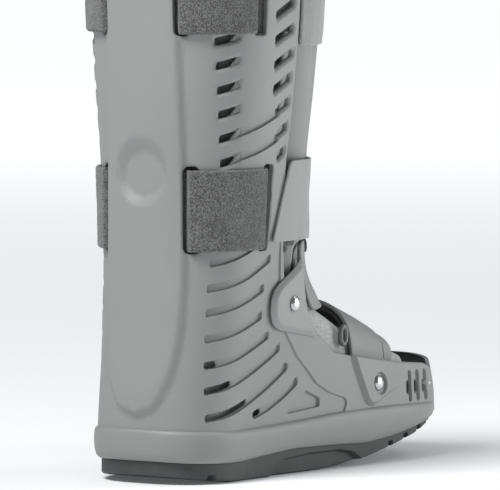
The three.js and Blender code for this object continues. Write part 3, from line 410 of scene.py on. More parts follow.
def build_outsole():
    edge = plan_outline(OUTSOLE_EDGE_HEIGHT, -OUTSOLE_INSET)
    bm = flat_sheet(46, 118, (-60, 60), (-150, 150))
    rim = lambda p: distance_to_outline(p[:, :2], edge)
    cut_along(bm, rim, 0, keep=-1)
    cut_along(bm, rim, -OUTSOLE_ROUNDING)
    for level in (0.0, TREAD_SLOPE):
        cut_along(bm, tread_field, level)
    flat = places(bm)
    depth = np.clip(TREAD_SLOPE - tread_field(flat), 0, TREAD_SLOPE) / TREAD_SLOPE * TREAD_DEPTH
    rise = np.clip(rim(flat) + OUTSOLE_ROUNDING, 0, OUTSOLE_ROUNDING) / OUTSOLE_ROUNDING
    under = sole_curve(flat[:, 1])[:, 0]
    put(bm, np.column_stack([flat[:, :2], under + depth + OUTSOLE_RISE * rise**2]))
    bmesh.ops.reverse_faces(bm, faces=bm.faces)
    # The wall is drawn up from the edge in rows, and a lid closes it under the midsole.
    border = [e for e in bm.edges if e.is_boundary]
    for rows_left in range(OUTSOLE_WALL_ROWS, 0, -1):
        grown = bmesh.ops.extrude_edge_only(bm, edges=border)["geom"]
        border = [g for g in grown if isinstance(g, bmesh.types.BMEdge)]
        for vertex in (g for g in grown if isinstance(g, bmesh.types.BMVert)):
            vertex.co.z += (sole_curve(vertex.co.y)[1] - MIDSOLE_GAP - vertex.co.z) / rows_left
    bmesh.ops.contextual_create(bm, geom=border)
    for level in (0.0, -WAIST_SLOPE):
        cut_along(bm, waist_field, level)
    points = places(bm)
    inward = np.clip(-waist_field(points), 0, WAIST_SLOPE) / WAIST_SLOPE * WAIST_DEPTH
    points[:, 0] -= np.sign(points[:, 0]) * inward
    put(bm, points)
    bmesh.ops.recalc_face_normals(bm, faces=bm.faces)
    return bm


sole_rubber = Finish("sole_rubber", roughness=0.62)
speckle = sole_rubber.grain(900, 3)
cloud = sole_rubber.grain(28, 4, 0.6)
worn = sole_rubber.ramp(cloud, (0.35, 0), (0.7, 1))
sole_rubber.feed(
    base_color=sole_rubber.blend(worn, (0.042, 0.043, 0.043), (0.074, 0.076, 0.075)),
    roughness=0.5 + 0.25 * cloud,
    normal=sole_rubber.bump(speckle, 0.0002, 0.5),
)
finish_piece(build_outsole(), "outsole_rubber", sole_rubber, ["outsole"], smooth=40)

# Midsole.
# One grey band of moulded foam, bonded between outsole and shell all the way round the
# foot. Its top edge is rounded and stands a little proud of the shell's wall.
MIDSOLE_HEIGHT = 22
MIDSOLE_TOE_START, MIDSOLE_TOE_LENGTH, MIDSOLE_TOE_FLUSH = 84, 44, 0.6
MIDSOLE_PROFILE = (
    # share of the height, how far out
    (0, -4), (0, -1.6), (0.03, -0.6), (0.1, 0.6), (0.25, 1.5), (0.5, 2.0), (0.72, 2.0),
    (0.86, 1.7), (0.94, 1.1), (0.985, 0.2), (1, -1.0), (1, -3.2),
)


def round_outline(turn, height, out):
    """Places on the whole outline: turn runs 0 to 6, left side first, by even lengths."""
    share = np.where(turn <= 3, turn, 6 - turn) / 3
    x, y = form_outline(even_part(share, height), height, out)
    return np.where(turn <= 3, -x, x), y


def build_midsole():
    rows = len(MIDSOLE_PROFILE) - 1
    bm = flat_sheet(260, rows, (0, 6), (0, rows))
    flat = places(bm)
    shares, outs = np.array(MIDSOLE_PROFILE).T
    row = np.rint(flat[:, 1]).astype(int)
    share, out = shares[row], outs[row]
    _, station = round_outline(flat[:, 0], MIDSOLE_HEIGHT, out)
    toe = np.clip((-station - MIDSOLE_TOE_START) / MIDSOLE_TOE_LENGTH, 0, 1)
    flush = 1 - MIDSOLE_TOE_FLUSH * toe
    x, y = round_outline(flat[:, 0], MIDSOLE_HEIGHT, np.where(out > 0, out * flush, out))
    _, low, high = sole_curve(y).T
    put(bm, np.column_stack([x, y, low + (high - low) * share]))
    around(bm)
    for upper in (False, True):
        rim = [e for e in bm.edges if e.is_boundary and (e.verts[0].co.z > 31) == upper]
        bmesh.ops.contextual_create(bm, geom=rim)
    bmesh.ops.recalc_face_normals(bm, faces=bm.faces)
    return bm


midsole_foam = Finish("midsole_foam", roughness=0.5)
skin = midsole_foam.grain(1400, 2)
cloud = midsole_foam.grain(16, 4, 0.6)
midsole_foam.feed(
    base_color=midsole_foam.blend(cloud, (0.235, 0.245, 0.236), (0.285, 0.295, 0.285)),
    roughness=0.42 + 0.2 * cloud,
    normal=midsole_foam.bump(skin, 0.00012, 0.35),
)
finish_piece(build_midsole(), "midsole_band", midsole_foam, ["midsole"], smooth=50)

# Shell.
# Back shell, foot walls and toe cup in one moulding of grey plastic, seated on the midsole.
# It has a raised spine with a round dimple, slots for air and for the bands, ribs behind a
# step line, and a boss round each forefoot rivet.
SHELL_WALL, SHELL_FOOT, SHELL_TOP = 3.5, 28.5, 372
FRONT_EDGE = (
    (72, 380), (60, 372.5), (54, 366), (52.5, 356), (54.5, 278.5), (57.5, 221), (59.6, 201),
    (57, 147), (54, 126), (46, 113), (34, 101), (20, 90), (11.9, 85.7), (-3.7, 74.5),
    (-20.4, 71.2), (-48, 67), (-74, 63.5), (-108, 60.3), (-117, 57.8), (-123, 56),
    (-127, 57.4), (-131, 62.4), (-136, 64.4), (-160, 64.4),
)
STEP_LINE = (
    (60, 190), (60, 160), (59.5, 146), (58.3, 126.4), (48.8, 89.6), (35.9, 74.3), (25, 65),
    (16.4, 56.3), (3.4, 49.4), (-11.9, 45.2), (-14.5, 42.5), (-14.1, 40.5), (-11.6, 36.3),
    (-11.6, 10),
)
SHELL_GROOVES = (
    # rear station and height, front station and height, sag, station to which it is cut through
    (121.5, 137.5, 84, 148.8, 1, None), (123, 121.4, 69, 138.6, 2, None),
    (124.3, 106.3, 75, 120.2, 1, None), (125.3, 90, 76, 103.1, 1, None),
    (126.2, 73.7, 67, 90.4, 2, 118.3), (126.9, 58, 54.3, 81.7, 3.5, 105.7),
    (127.2, 41.2, 45.3, 69.5, 5, 87.7), (83.1, 40.2, 34.8, 59.3, 2.5, 72.2),
)
UPPER_GROOVES = (
    # rear station and height, front station and height, sag, how tall
    (110, 202.4, 70.8, 214.3, 0.8, 6.0), (111, 217.2, 72.2, 230.2, 0.4, 6.4),
)
TRIANGLE_POCKET = ((48.1, 38.2), (26.8, 52.6), (12.2, 46.6), (12.8, 40.6))
FRONT_SLOTS = (
    # rear station and height, front station and height
    (70, 201.3, 62.8, 206), (71.3, 216.1, 61.8, 220.8), (72.6, 231.3, 61.3, 236.4),
    (78.8, 243.6, 60.4, 251.9), (79.2, 258.9, 59.5, 267.2), (79.5, 274.5, 60.3, 282.2),
    (79.7, 290.1, 59.7, 298.4),
)
BACK_SLOTS = tuple((117.4 + 1.38 * k, 199 + 15.15 * k, 105.1 + k, 202.8 + 15.2 * k) for k in range(6))
BACK_SLOT_REACH, BACK_SLOT_FRONT, BACK_SLOT_LEAN, BACK_SLOT_ROOM = 96, 4.6, 0.8, 7.5
BAND_LOWS = (144.5, 279.5)
BAND_WIDTH = 50.8
ROOM_BELOW_BAND, ROOM_ABOVE_BAND = 1.2, 2.4
SPINE_BAND_SLOTS = ((26.7, 36.0), (23.5, 33.3))
FRONT_BAND_SLOTS = ((74.0, 83.6), (90.0, 100.0))
SPINE_HALF = smooth_curve((
    (46, 0.8), (47.5, 7), (52, 12), (60, 16.6), (70, 20.3), (85, 23), (105, 24.8), (140, 25.2),
    (200, 24.8), (300, 23.2), (380, 22.4),
))
BOSS_OUTLINE = (
    (-19.7, 76), (-24, 61), (-29, 49), (-32.5, 41.2), (-36, 37.8), (-41, 37.2), (-46, 38.6),
    (-56, 43), (-82, 49), (-82, 76),
)
TOE_SLOTS = (
    # station at the bottom and the top, top, half width, half width of the wide part
    (-84.9, -86.2, 57, 2.0, 4.0), (-94.6, -96.4, 57, 2.2, 4.4), (-105.4, -107.4, 56.6, 2.5, 4.8),
)
TOE_SLOT_LENGTH, TOE_HOLE_LOW, TOE_HOLE_HIGH, TOE_HOLE_CORNER = 20, 15.5, 6, 2.6
GROOVE_DEPTH, GROOVE_SLOPE = 1.9, 0.5
RIB_DROP, RIBS_END_BEHIND, RIBS_END_ABOVE = 1.1, (72, 122), (135, 165)
SLOT_HEIGHT, SLOT_BEVEL, SLOT_BEVEL_DEPTH = 5.4, 1.5, 1.0
# Stations behind which the back's forms lie, and the distance given off an opening or form.
SPINE_BEHIND, DIMPLE_BEHIND, SPINE_SLOTS_BEHIND, FRONT_SLOTS_BESIDE = 95, 110, 104, 30
OFF_OPENING, OFF_FORM = 20, 30
SPINE_RISE, SPINE_SLOPE = 3.5, 5.5
DIMPLE_DEPTH = 4.4
DIMPLE_RIM_HEIGHT, DIMPLE_RIM_ACROSS, DIMPLE_RIM_UP = 194, 18.8, 22.7
DIMPLE_FLOOR_HEIGHT, DIMPLE_FLOOR_ACROSS, DIMPLE_FLOOR_UP = 192.3, 14.4, 13.6
BOSS_RISE, BOSS_SLOPE, BOSS_FADE = 3.0, 2.8, (-80, -54)
TOE_FULLNESS, TOE_FULL_AHEAD, TOE_FULL_BELOW = 1.5, (84, 128), (36, 60)
TOE_THINNER, TOE_THIN_AHEAD, TOE_THIN_BELOW = 1.1, (76, 82), (60, 64)
EDGE_ROUND, EDGE_DROP = 0.8, 0.55
FOREFOOT_RIVET = (-47.8, 51.5)
RIVET_WELL_RADIUS, RIVET_WELL_DEPTH, RIVET_WELL_SLOPE = 7.4, 1.9, 0.9


def eased(value, start, end):
    """Runs smoothly from 0 at start to 1 at end."""
    s = np.clip((value - start) / (end - start), 0, 1)
    return s * s * (3 - 2 * s)


def slanted_bar(y, z, start, end, height, sag=0.0, corner=1.2):
    """Distance to a slot that climbs from start to end, upright at its ends and sagging between."""
    share = np.clip((y - start[0]) / (end[0] - start[0]), 0, 1)
    centre = start[1] + (end[1] - start[1]) * share - sag * 4 * share * (1 - share)
    along = np.abs(y - (start[0] + end[0]) / 2) - abs(end[0] - start[0]) / 2 + corner
    across = (np.abs(z - centre) - height / 2 + corner) * 0.94
    outside = np.hypot(np.maximum(along, 0), np.maximum(across, 0))
    return outside + np.minimum(np.maximum(along, across), 0) - corner


def box_hole(a, b, a_range, b_range, corner):
    """Distance to a rectangle with round corners."""
    da = np.abs(a - sum(a_range) / 2) - (a_range[1] - a_range[0]) / 2 + corner
    db = np.abs(b - sum(b_range) / 2) - (b_range[1] - b_range[0]) / 2 + corner
    return np.hypot(np.maximum(da, 0), np.maximum(db, 0)) + np.minimum(np.maximum(da, db), 0) - corner


def shell_place(flat, out=0.0):
    """Bends a flat point, share of the half outline and height, on to the form."""
    x, y = form_outline(even_part(np.abs(flat[:, 0]), flat[:, 1]), flat[:, 1], out)
    return np.column_stack([np.where(flat[:, 0] < 0, x, -x), y, flat[:, 1]])


def front_edge_field(p):
    """Positive behind the shell's front edge and above the midsole."""
    outline = [*FRONT_EDGE, (-200, 64.4), (-200, -20), (200, -20), (200, 420), (72, 420)]
    return np.minimum(-distance_to_outline(p[:, 1:], outline), SHELL_TOP - 0.01 - p[:, 2])


def slots_field(p):
    """Distance to the slots of the shell's two columns."""
    bars = [
        slanted_bar(p[:, 1], p[:, 2], slot[:2], slot[2:], SLOT_HEIGHT, 0, 1.1)
        for slot in (*BACK_SLOTS, *FRONT_SLOTS)
    ]
    return np.min(bars, axis=0)


def slot_floor_field(p):
    """Positive where the floor of a rear slot rises to the front: it is open only behind this."""
    y, z = p[:, 1], p[:, 2]
    rests = []
    for _, rear_height, front, front_height in BACK_SLOTS:
        above = z - (rear_height + front_height) / 2
        rest = front + BACK_SLOT_FRONT - BACK_SLOT_LEAN * above - y
        rests.append(np.where(np.abs(above) < BACK_SLOT_ROOM, rest, -OFF_OPENING))
    return np.where(y > BACK_SLOT_REACH, np.max(rests, axis=0), -OFF_OPENING)


def along_toe_slot(y, z, low, high, top):
    """How far back a place lies from the middle of a leaning slot of the toe cup."""
    return y - (low + (high - low) * (z - top + TOE_SLOT_LENGTH) / TOE_SLOT_LENGTH)


def openings_field(p):
    """Distance to the nearest opening cut through the shell."""
    x, y, z = np.abs(p[:, 0]), p[:, 1], p[:, 2]
    cuts = [np.maximum(slots_field(p) + 0.25, slot_floor_field(p))]
    for y0, z0, y1, z1, sag, through in SHELL_GROOVES:
        if through:
            whole = slanted_bar(y, z, (y0, z0), (y1, z1), SLOT_HEIGHT, sag) + 0.75
            cuts.append(np.maximum(whole, through - y))
    for low, spine, front in zip(BAND_LOWS, SPINE_BAND_SLOTS, FRONT_BAND_SLOTS):
        rows = (low - ROOM_BELOW_BAND, low + BAND_WIDTH + ROOM_ABOVE_BAND)
        beside_spine, in_pillar = box_hole(x, z, spine, rows, 3.0), box_hole(y, z, front, rows, 2.0)
        cuts.append(np.where(y > SPINE_SLOTS_BEHIND, beside_spine, OFF_OPENING))
        cuts.append(np.where(x > FRONT_SLOTS_BESIDE, in_pillar, OFF_OPENING))
    for low, high, top, half, wide in TOE_SLOTS:
        along = along_toe_slot(y, z, low, high, top)
        rows = (top - TOE_HOLE_LOW, top - TOE_HOLE_HIGH)
        cuts.append(box_hole(along, z, (-half, wide), rows, TOE_HOLE_CORNER))
    return np.min(cuts, axis=0)


def pockets_field(p):
    """Distance to the grooves, slots and pockets that are sunk into the shell's side."""
    y, z = p[:, 1], p[:, 2]
    pockets = [distance_to_outline(p[:, 1:], TRIANGLE_POCKET) + 0.2, slots_field(p)]
    for y0, z0, y1, z1, sag, _ in SHELL_GROOVES:
        pockets.append(slanted_bar(y, z, (y0, z0), (y1, z1), SLOT_HEIGHT, sag))
    for y0, z0, y1, z1, sag, tall in UPPER_GROOVES:
        pockets.append(slanted_bar(y, z, (y0, z0), (y1, z1), tall, sag, 1))
    for low, high, top, half, _ in TOE_SLOTS:
        along = along_toe_slot(y, z, low, high, top)
        pockets.append(box_hole(along, z, (-half, half), (top - TOE_SLOT_LENGTH, top), half) - 0.2)
    return np.min(pockets, axis=0)


def ahead_field(p):
    """Distance to the plain area ahead of the step line, negative in it."""
    return distance_to_outline(p[:, 1:], [*STEP_LINE, (-200, 10), (-200, 190)])


spine_rows = np.linspace(46, 400, 90)
spine_side = np.column_stack([SPINE_HALF(spine_rows)[:, 0], spine_rows])
spine_outline = np.vstack([spine_side, (spine_side * (-1, 1))[::-1]])


def spine_field(p):
    """Distance outside the spine's plateau, seen from behind."""
    return np.where(p[:, 1] > SPINE_BEHIND, distance_to_outline(p[:, ::2], spine_outline), OFF_FORM)


def dimple_rim(p):
    """Distance, nearly, outside the dimple's oval rim."""
    ring = np.hypot(p[:, 0] / DIMPLE_RIM_ACROSS, (p[:, 2] - DIMPLE_RIM_HEIGHT) / DIMPLE_RIM_UP) - 1
    return np.where(p[:, 1] > DIMPLE_BEHIND, ring * 20, OFF_FORM)


def dimple_floor(p):
    """Distance, nearly, outside the dimple's round floor."""
    ring = np.hypot(p[:, 0] / DIMPLE_FLOOR_ACROSS, (p[:, 2] - DIMPLE_FLOOR_HEIGHT) / DIMPLE_FLOOR_UP) - 1
    return np.where(p[:, 1] > DIMPLE_BEHIND, ring * 14, OFF_FORM)


def boss_field(p):
    """Distance to the boss round the forefoot rivet."""
    return distance_to_outline(p[:, 1:], BOSS_OUTLINE)


def rivet_well_field(p):
    """Distance to the round well in which the forefoot rivet sits."""
    return np.hypot(p[:, 1] - FOREFOOT_RIVET[0], p[:, 2] - FOREFOOT_RIVET[1]) - RIVET_WELL_RADIUS


def shell_relief(p):
    """How far the shell's outside stands off the form at each place."""
    ribbed = (1 - eased(p[:, 1], *RIBS_END_BEHIND)) * (1 - eased(p[:, 2], *RIBS_END_ABOVE))
    out = -RIB_DROP * ribbed * np.clip(ahead_field(p) / GROOVE_SLOPE, 0, 1)
    out = out - GROOVE_DEPTH * np.clip(-pockets_field(p) / GROOVE_SLOPE, 0, 1)
    toe = eased(-p[:, 1], *TOE_FULL_AHEAD) * (1 - eased(p[:, 2], *TOE_FULL_BELOW))
    out = out + TOE_FULLNESS * toe
    spine = np.clip(1 - spine_field(p) / SPINE_SLOPE, 0, 1)
    out = np.maximum(out, 0) + np.minimum(out, 0) * (1 - spine)
    out = out + SPINE_RISE * spine * spine * (3 - 2 * spine)
    inside_rim, outside_floor = np.clip(-dimple_rim(p), 0, None), np.clip(dimple_floor(p), 0, None)
    out = out - DIMPLE_DEPTH * inside_rim / np.maximum(inside_rim + outside_floor, 1e-6)
    fade = eased(p[:, 1], *BOSS_FADE)
    out = out + BOSS_RISE * np.clip(-boss_field(p) / BOSS_SLOPE, 0, 1) * fade
    out = out - RIVET_WELL_DEPTH * np.clip(-rivet_well_field(p) / RIVET_WELL_SLOPE, 0, 1)
    lip = np.clip(1 - np.minimum(front_edge_field(p), openings_field(p)) / EDGE_ROUND, 0, 1)
    bevel = np.clip(1 - slots_field(p) / SLOT_BEVEL, 0, 1) * (slots_field(p) > -0.01)
    return out - np.maximum(EDGE_DROP * lip * lip, SLOT_BEVEL_DEPTH * bevel)


def build_shell():
    bm = flat_sheet(97, 128, (0, 1), (SHELL_FOOT, SHELL_TOP))
    on_form = lambda field: (lambda flat: field(shell_place(flat)))
    # The sheet is finer where ribs and slots lie, and finer again round the toe slots.
    for detailed in (
        lambda x, y, z: (x < -36 and y < 132 and z < 160) or (60 < y < 127 and 190 < z < 308),
        lambda x, y, z: -114 < y < -78 and z < 62,
    ):
        for vertex, place in zip(bm.verts, shell_place(places(bm))):
            vertex.tag = bool(detailed(*place))
        fine = [e for e in bm.edges if e.verts[0].tag and e.verts[1].tag]
        bmesh.ops.subdivide_edges(bm, edges=fine, cuts=1, use_grid_fill=True)
    for field in (front_edge_field, openings_field):
        cut_along(bm, on_form(field), 0, keep=1)
        cut_along(bm, on_form(field), EDGE_ROUND)
    for field, levels in (
        (slots_field, (SLOT_BEVEL,)), (pockets_field, (0, -GROOVE_SLOPE)),
        (ahead_field, (0, GROOVE_SLOPE)), (spine_field, (0, SPINE_SLOPE / 2, SPINE_SLOPE)),
        (dimple_rim, (0,)), (dimple_floor, (0,)), (boss_field, (0, -BOSS_SLOPE)),
        (rivet_well_field, (0, -RIVET_WELL_SLOPE)),
    ):
        for level in levels:
            cut_along(bm, on_form(field), level)
    half = bm.verts[:] + bm.edges[:] + bm.faces[:]
    bmesh.ops.mirror(bm, geom=half, matrix=Matrix(), merge_dist=1e-5, axis="X")
    bmesh.ops.recalc_face_normals(bm, faces=bm.faces)
    if bm.faces[0].normal.z < 0:
        bmesh.ops.reverse_faces(bm, faces=bm.faces)
    bmesh.ops.solidify(bm, geom=bm.faces[:], thickness=SHELL_WALL)
    toe_seam = [f for f in bm.faces if all(abs(v.co.x) > 0.9999 for v in f.verts)]
    bmesh.ops.delete(bm, geom=toe_seam, context="FACES_ONLY")
    flat = places(bm)
    outside = np.array([abs(v.co.z) < 1e-6 for v in bm.verts])
    base = shell_place(flat)
    thin = eased(-base[:, 1], *TOE_THIN_AHEAD) * (1 - eased(base[:, 2], *TOE_THIN_BELOW))
    out = np.where(outside, shell_relief(base), TOE_THINNER * thin - SHELL_WALL)
    put(bm, shell_place(flat, out))
    around(bm)
    bmesh.ops.recalc_face_normals(bm, faces=bm.faces)
    return bm


def moulded_plastic(name, cloud_scale, dark, light):
    """The boot's satin grey plastic: broad clouds of tone under a fine moulded grain."""
    made = Finish(name, roughness=0.5)
    fine = made.grain(2600, 2)
    cloud = made.grain(cloud_scale, 4, 0.6)
    return made.feed(
        base_color=made.blend(cloud, dark, light), roughness=0.45 + 0.18 * cloud,
        normal=made.bump(fine, 0.0001, 0.4),
    )


shell_plastic = moulded_plastic("shell_plastic", 11, (0.25, 0.254, 0.25), (0.295, 0.3, 0.295))
finish_piece(build_shell(), "moulded_shell", shell_plastic, ["shell"], smooth=42)

# Front panel.
# A separate curved shin plate of the same plastic, held by the bands alone. It is tucked in
# behind the shell's front edges and proud in front, with a small slot low on each side.
LEG_AXIS = 66
PANEL_SIDE, PANEL_FRONT = -7.4, -0.4
PANEL_RISE_START, PANEL_RISE = 103, 17
PANEL_WALL, PANEL_EDGE_ROUND = 2.5, 0.8
PANEL_CREASE, PANEL_CREASE_HALF, PANEL_CREASE_DEPTH = 124, 1.4, 0.7
PANEL_SLOT = ((47, 52.5), (140.6, 146))
PANEL_OUTLINE = (
    # angle from the back, height
    (96, 120), (106, 120), (112, 123), (114.5, 146), (121, 149.5), (182, 149.5), (182, 364), (96, 364),
)


def from_back(angle):
    """The angle measured from the back on either side."""
    turned = np.mod(angle, 360)
    return np.where(turned <= 180, turned, 360 - turned)


def leg_place(angle, height, out):
    """A point round the leg: angle 0 at the back, 90 at the left, 180 in front."""
    side = np.where(np.mod(angle, 360) <= 180, -1, 1)
    bearing = lambda x, y: np.degrees(np.arctan2(x, y - LEG_AXIS))
    part = part_where(height, bearing, from_back(angle))
    x, y = form_outline(part, height, out)
    return np.column_stack([side * x, y, np.broadcast_to(height, x.shape)])


def panel_face(angle):
    """How far out the shin plate's face stands at an angle."""
    share = np.clip((from_back(angle) - PANEL_RISE_START) / PANEL_RISE, 0, 1)
    return PANEL_SIDE + (PANEL_FRONT - PANEL_SIDE) * share


def panel_field(flat):
    """Distance inside the shin plate's rounded outline and outside its small slots."""
    outline_points = np.column_stack([from_back(flat[:, 0]), flat[:, 1]])
    inside = -(distance_to_outline(outline_points, PANEL_OUTLINE) - 2.2)
    place = leg_place(flat[:, 0], flat[:, 1], -4)
    return np.minimum(inside, box_hole(place[:, 1], place[:, 2], *PANEL_SLOT, 1.0))


def slab(bm, thickness):
    """Gives a flat sheet its wall: the sheet is the outside, the other skin lies below it."""
    bmesh.ops.recalc_face_normals(bm, faces=bm.faces)
    if sum(f.normal.z for f in bm.faces) < 0:
        bmesh.ops.reverse_faces(bm, faces=bm.faces)
    bmesh.ops.solidify(bm, geom=bm.faces[:], thickness=thickness)
    return places(bm)


def edge_round(flat, distance, radius, thickness):
    """Depth of each vertex of a slab whose two rims are rounded: outer and inner skin."""
    lip = np.clip(1 - distance / radius, 0, 1)
    drop = radius * (1 - np.sqrt(np.clip(1 - lip * lip, 0, 1)))
    outer = np.abs(flat[:, 2]) < thickness / 2
    return np.where(outer, -drop, -thickness + drop)


def build_panel():
    bm = flat_sheet(96, 84, (92, 268), (112, 368))
    cut_along(bm, panel_field, 0, keep=1)
    for level in (0.3, PANEL_EDGE_ROUND):
        cut_along(bm, panel_field, level)
    flat = slab(bm, PANEL_WALL)
    depth = edge_round(flat, panel_field(flat), PANEL_EDGE_ROUND, PANEL_WALL)
    off_crease = (from_back(flat[:, 0]) - PANEL_CREASE) / PANEL_CREASE_HALF
    depth = depth - PANEL_CREASE_DEPTH * np.exp(-(off_crease**2))
    put(bm, leg_place(flat[:, 0], flat[:, 1], panel_face(flat[:, 0]) + depth))
    bmesh.ops.recalc_face_normals(bm, faces=bm.faces)
    return bm


panel_plastic = moulded_plastic("panel_plastic", 14, (0.245, 0.249, 0.245), (0.29, 0.294, 0.29))
finish_piece(build_panel(), "shin_panel", panel_plastic, ["front_panel"], smooth=42)

# Liner.
# A padded boot of heathered cloth over foam that lies in the shell. It is grey round the
# leg, paler over the instep and open at both ends. Low down at the toes it is painted black:
# painted shade for the dark inside of the toe cup.
LINER_INSETS = smooth_curve((
    # height, inset at the sides, inset in front
    (30, 9.4, 12), (60, 9.4, 14), (66, 8.6, 15), (72, 7.6, 13), (82, 8.4, 11), (90, 8.4, 9.5),
    (104, 8.8, 8), (118, 10.4, 9), (150, 10.4, 10.4), (390, 10.4, 10.4),
))
LINER_START, LINER_TOP, LINER_WALL, LINER_TOE = 38, 386, 6, -94.9
LINER_UNDERSIDE, LINER_INSOLE = 3.9, 8.9
INSTEP_HEIGHT, INSTEP_PADDING = 111, 1.8
LINER_RIM = 0.016
LINER_SEAMS = ((362, 1.3), (116, 1.5))
SEAM_PULL, PUFF_PULL = 0.011, 0.004


def liner_place(turn, row, inner):
    """The outer or inner skin of the liner; row runs 0 at the sole to 1 at the leg's rim."""
    height = LINER_START + (LINER_TOP - LINER_START) * row
    insets = LINER_INSETS(height)
    share = np.where(turn <= 3, turn, 6 - turn) / 3
    part = even_part(share, height)
    wall = np.where(inner, LINER_WALL, 0)
    padding = np.where(height < INSTEP_HEIGHT, INSTEP_PADDING, 1)
    x, y = form_outline(part, height, -insets[:, 0] - wall, -insets[:, 1] - wall * padding)
    return np.column_stack([np.where(turn <= 3, -x, x), y, height])


def build_liner():
    rows = 92
    bm = flat_sheet(132, 2 * rows, (0, 6), (0, 2 * rows))
    flat = places(bm)
    turn = flat[:, 0]
    inner = flat[:, 1] > rows
    row = np.where(inner, 2 * rows - flat[:, 1], flat[:, 1]) / rows
    points = liner_place(turn, row, inner)
    # The two skins meet in a rounded rim at the top.
    rim = np.clip((row - 1 + LINER_RIM) / LINER_RIM, 0, 1)
    middle = (liner_place(turn, row, False) + liner_place(turn, row, True)) / 2
    points = points + (middle - points) * (1 - np.sqrt(1 - rim**2 * 0.99))[:, None]
    # Puffs and sewn seams draw the cloth in towards the middle of the leg.
    puff = np.array([noise.noise(Vector(p) * 0.035) + 0.5 * noise.noise(Vector(p) * 0.09) for p in points])
    seam = sum(np.exp(-(((points[:, 2] - height) / half) ** 2)) for height, half in LINER_SEAMS)
    pull = SEAM_PULL * seam + PUFF_PULL * np.abs(puff)
    points[:, :2] += ((0, 60) - points[:, :2]) * pull[:, None]
    floor = sole_curve(points[:, 1])[:, 2] + np.where(inner, LINER_INSOLE, LINER_UNDERSIDE)
    low = (row < 0.5) & (points[:, 2] < floor)
    points[low, 2] = floor[low]
    put(bm, points)
    around(bm)
    bmesh.ops.dissolve_degenerate(bm, edges=bm.edges, dist=0.01)
    # Each open loop gets its own face: the underside and the insole.
    while any(e.is_boundary for e in bm.edges):
        start = next(e for e in bm.edges if e.is_boundary)
        loop, vertex = {start}, start.verts[1]
        while True:
            following = [e for e in vertex.link_edges if e.is_boundary and e not in loop]
            if not following:
                break
            loop.add(following[0])
            vertex = following[0].other_vert(vertex)
        bmesh.ops.contextual_create(bm, geom=list(loop))
    geometry = bm.verts[:] + bm.edges[:] + bm.faces[:]
    cut = bmesh.ops.bisect_plane(
        bm, geom=geometry, dist=0.001, plane_co=(0, LINER_TOE, 0), plane_no=(0, -1, 0), clear_outer=True
    )
    border = [g for g in cut["geom_cut"] if isinstance(g, bmesh.types.BMEdge)]
    bmesh.ops.triangle_fill(bm, edges=border, use_beauty=True, use_dissolve=False)
    bmesh.ops.recalc_face_normals(bm, faces=bm.faces)
    return bm


liner_cloth = Finish("liner_cloth", roughness=0.95)
nap = liner_cloth.grain(1600, 3, 0.7)
fleck = liner_cloth.grain(700, 2, 0.6)
cloud = liner_cloth.grain(60, 3, 0.6)
height = liner_cloth.node("SeparateXYZ", None, {0: liner_cloth.spot}, out=2)
upper = liner_cloth.ramp(height * 2.5 + 0.01 * cloud, (0.285, 0), (0.295, 1))
station = liner_cloth.node("SeparateXYZ", None, {0: liner_cloth.spot}, out=1)
# Painted shade: low down at the toes the cloth is painted black, for the shade inside the toe cup.
toe_painted_shade = liner_cloth.ramp(station * -5, (0.38, 0), (0.4, 1))
toe_painted_shade = toe_painted_shade * liner_cloth.ramp(height * 10, (0.55, 1), (0.57, 0))
heather = liner_cloth.ramp(fleck * 0.6 + nap * 0.4, (0.38, 0), (0.62, 1))
instep_tone = liner_cloth.blend(heather, (0.36, 0.37, 0.36), (0.6, 0.61, 0.6))
leg_tone = liner_cloth.blend(heather, (0.24, 0.246, 0.242), (0.46, 0.47, 0.462))
liner_cloth.feed(
    # The near-black colour below is the painted shade low down at the toes.
    base_color=liner_cloth.blend(
        toe_painted_shade, liner_cloth.blend(upper, instep_tone, leg_tone), (0.02, 0.02, 0.02)
    ),
    normal=liner_cloth.bump(nap + 0.5 * fleck, 0.0005, 0.6),
)
liner = finish_piece(build_liner(), "padded_liner", liner_cloth, ["liner"], smooth=60)

# Leg bands.
# Two 2 inch bands of dark brushed loop cloth. Each passes behind the spine, out through
# the slot beside it, along the outside and in again behind the shell's front pillar.
INSIDE_BAND, BAND_OUT, BAND_THICKNESS, BAND_EDGE_ROUND = -6.8, 1.0, 2.2, 1.0
BAND_WAYS = (
    # name, angles of the way out beside the spine and of the way in behind the pillar
    ("mid", (22.8, 26), (72.4, 77.5)),
    ("top", (19, 22), (59.6, 64.4)),
)


def band_depth(angle, out_range, in_range):
    """How far out the band's inner face runs at an angle."""
    a = from_back(angle)
    outside = eased(a, *out_range) * (1 - eased(a, *in_range))
    inside = np.where(a > in_range[1], panel_face(angle) + 0.6, INSIDE_BAND)
    return inside + (BAND_OUT - inside) * outside


def ruffle(points, size, amount, seed=0.0):
    """Small uneven swell of cloth."""
    shift = Vector((seed, 0, 0))
    return np.array([noise.noise(Vector(p) / size + shift) for p in points]) * amount


def build_band(low, out_range, in_range):
    bm = flat_sheet(190, 40, (-113, 113), (0, BAND_WIDTH))
    flat = slab(bm, BAND_THICKNESS)
    edge = np.minimum(flat[:, 1], BAND_WIDTH - flat[:, 1])
    depth = edge_round(flat, edge, BAND_EDGE_ROUND, BAND_THICKNESS) + BAND_THICKNESS
    fuzz = ruffle(flat, 1.6, 0.22) + ruffle(flat, 14, 0.25, 5.0)
    fray = ruffle(flat, 1.3, 0.35, 9.0) * (edge < 0.5)
    out = band_depth(flat[:, 0], out_range, in_range) + depth + fuzz * (depth > 0.1)
    put(bm, leg_place(flat[:, 0], low + flat[:, 1] + fray, out))
    bmesh.ops.recalc_face_normals(bm, faces=bm.faces)
    return bm


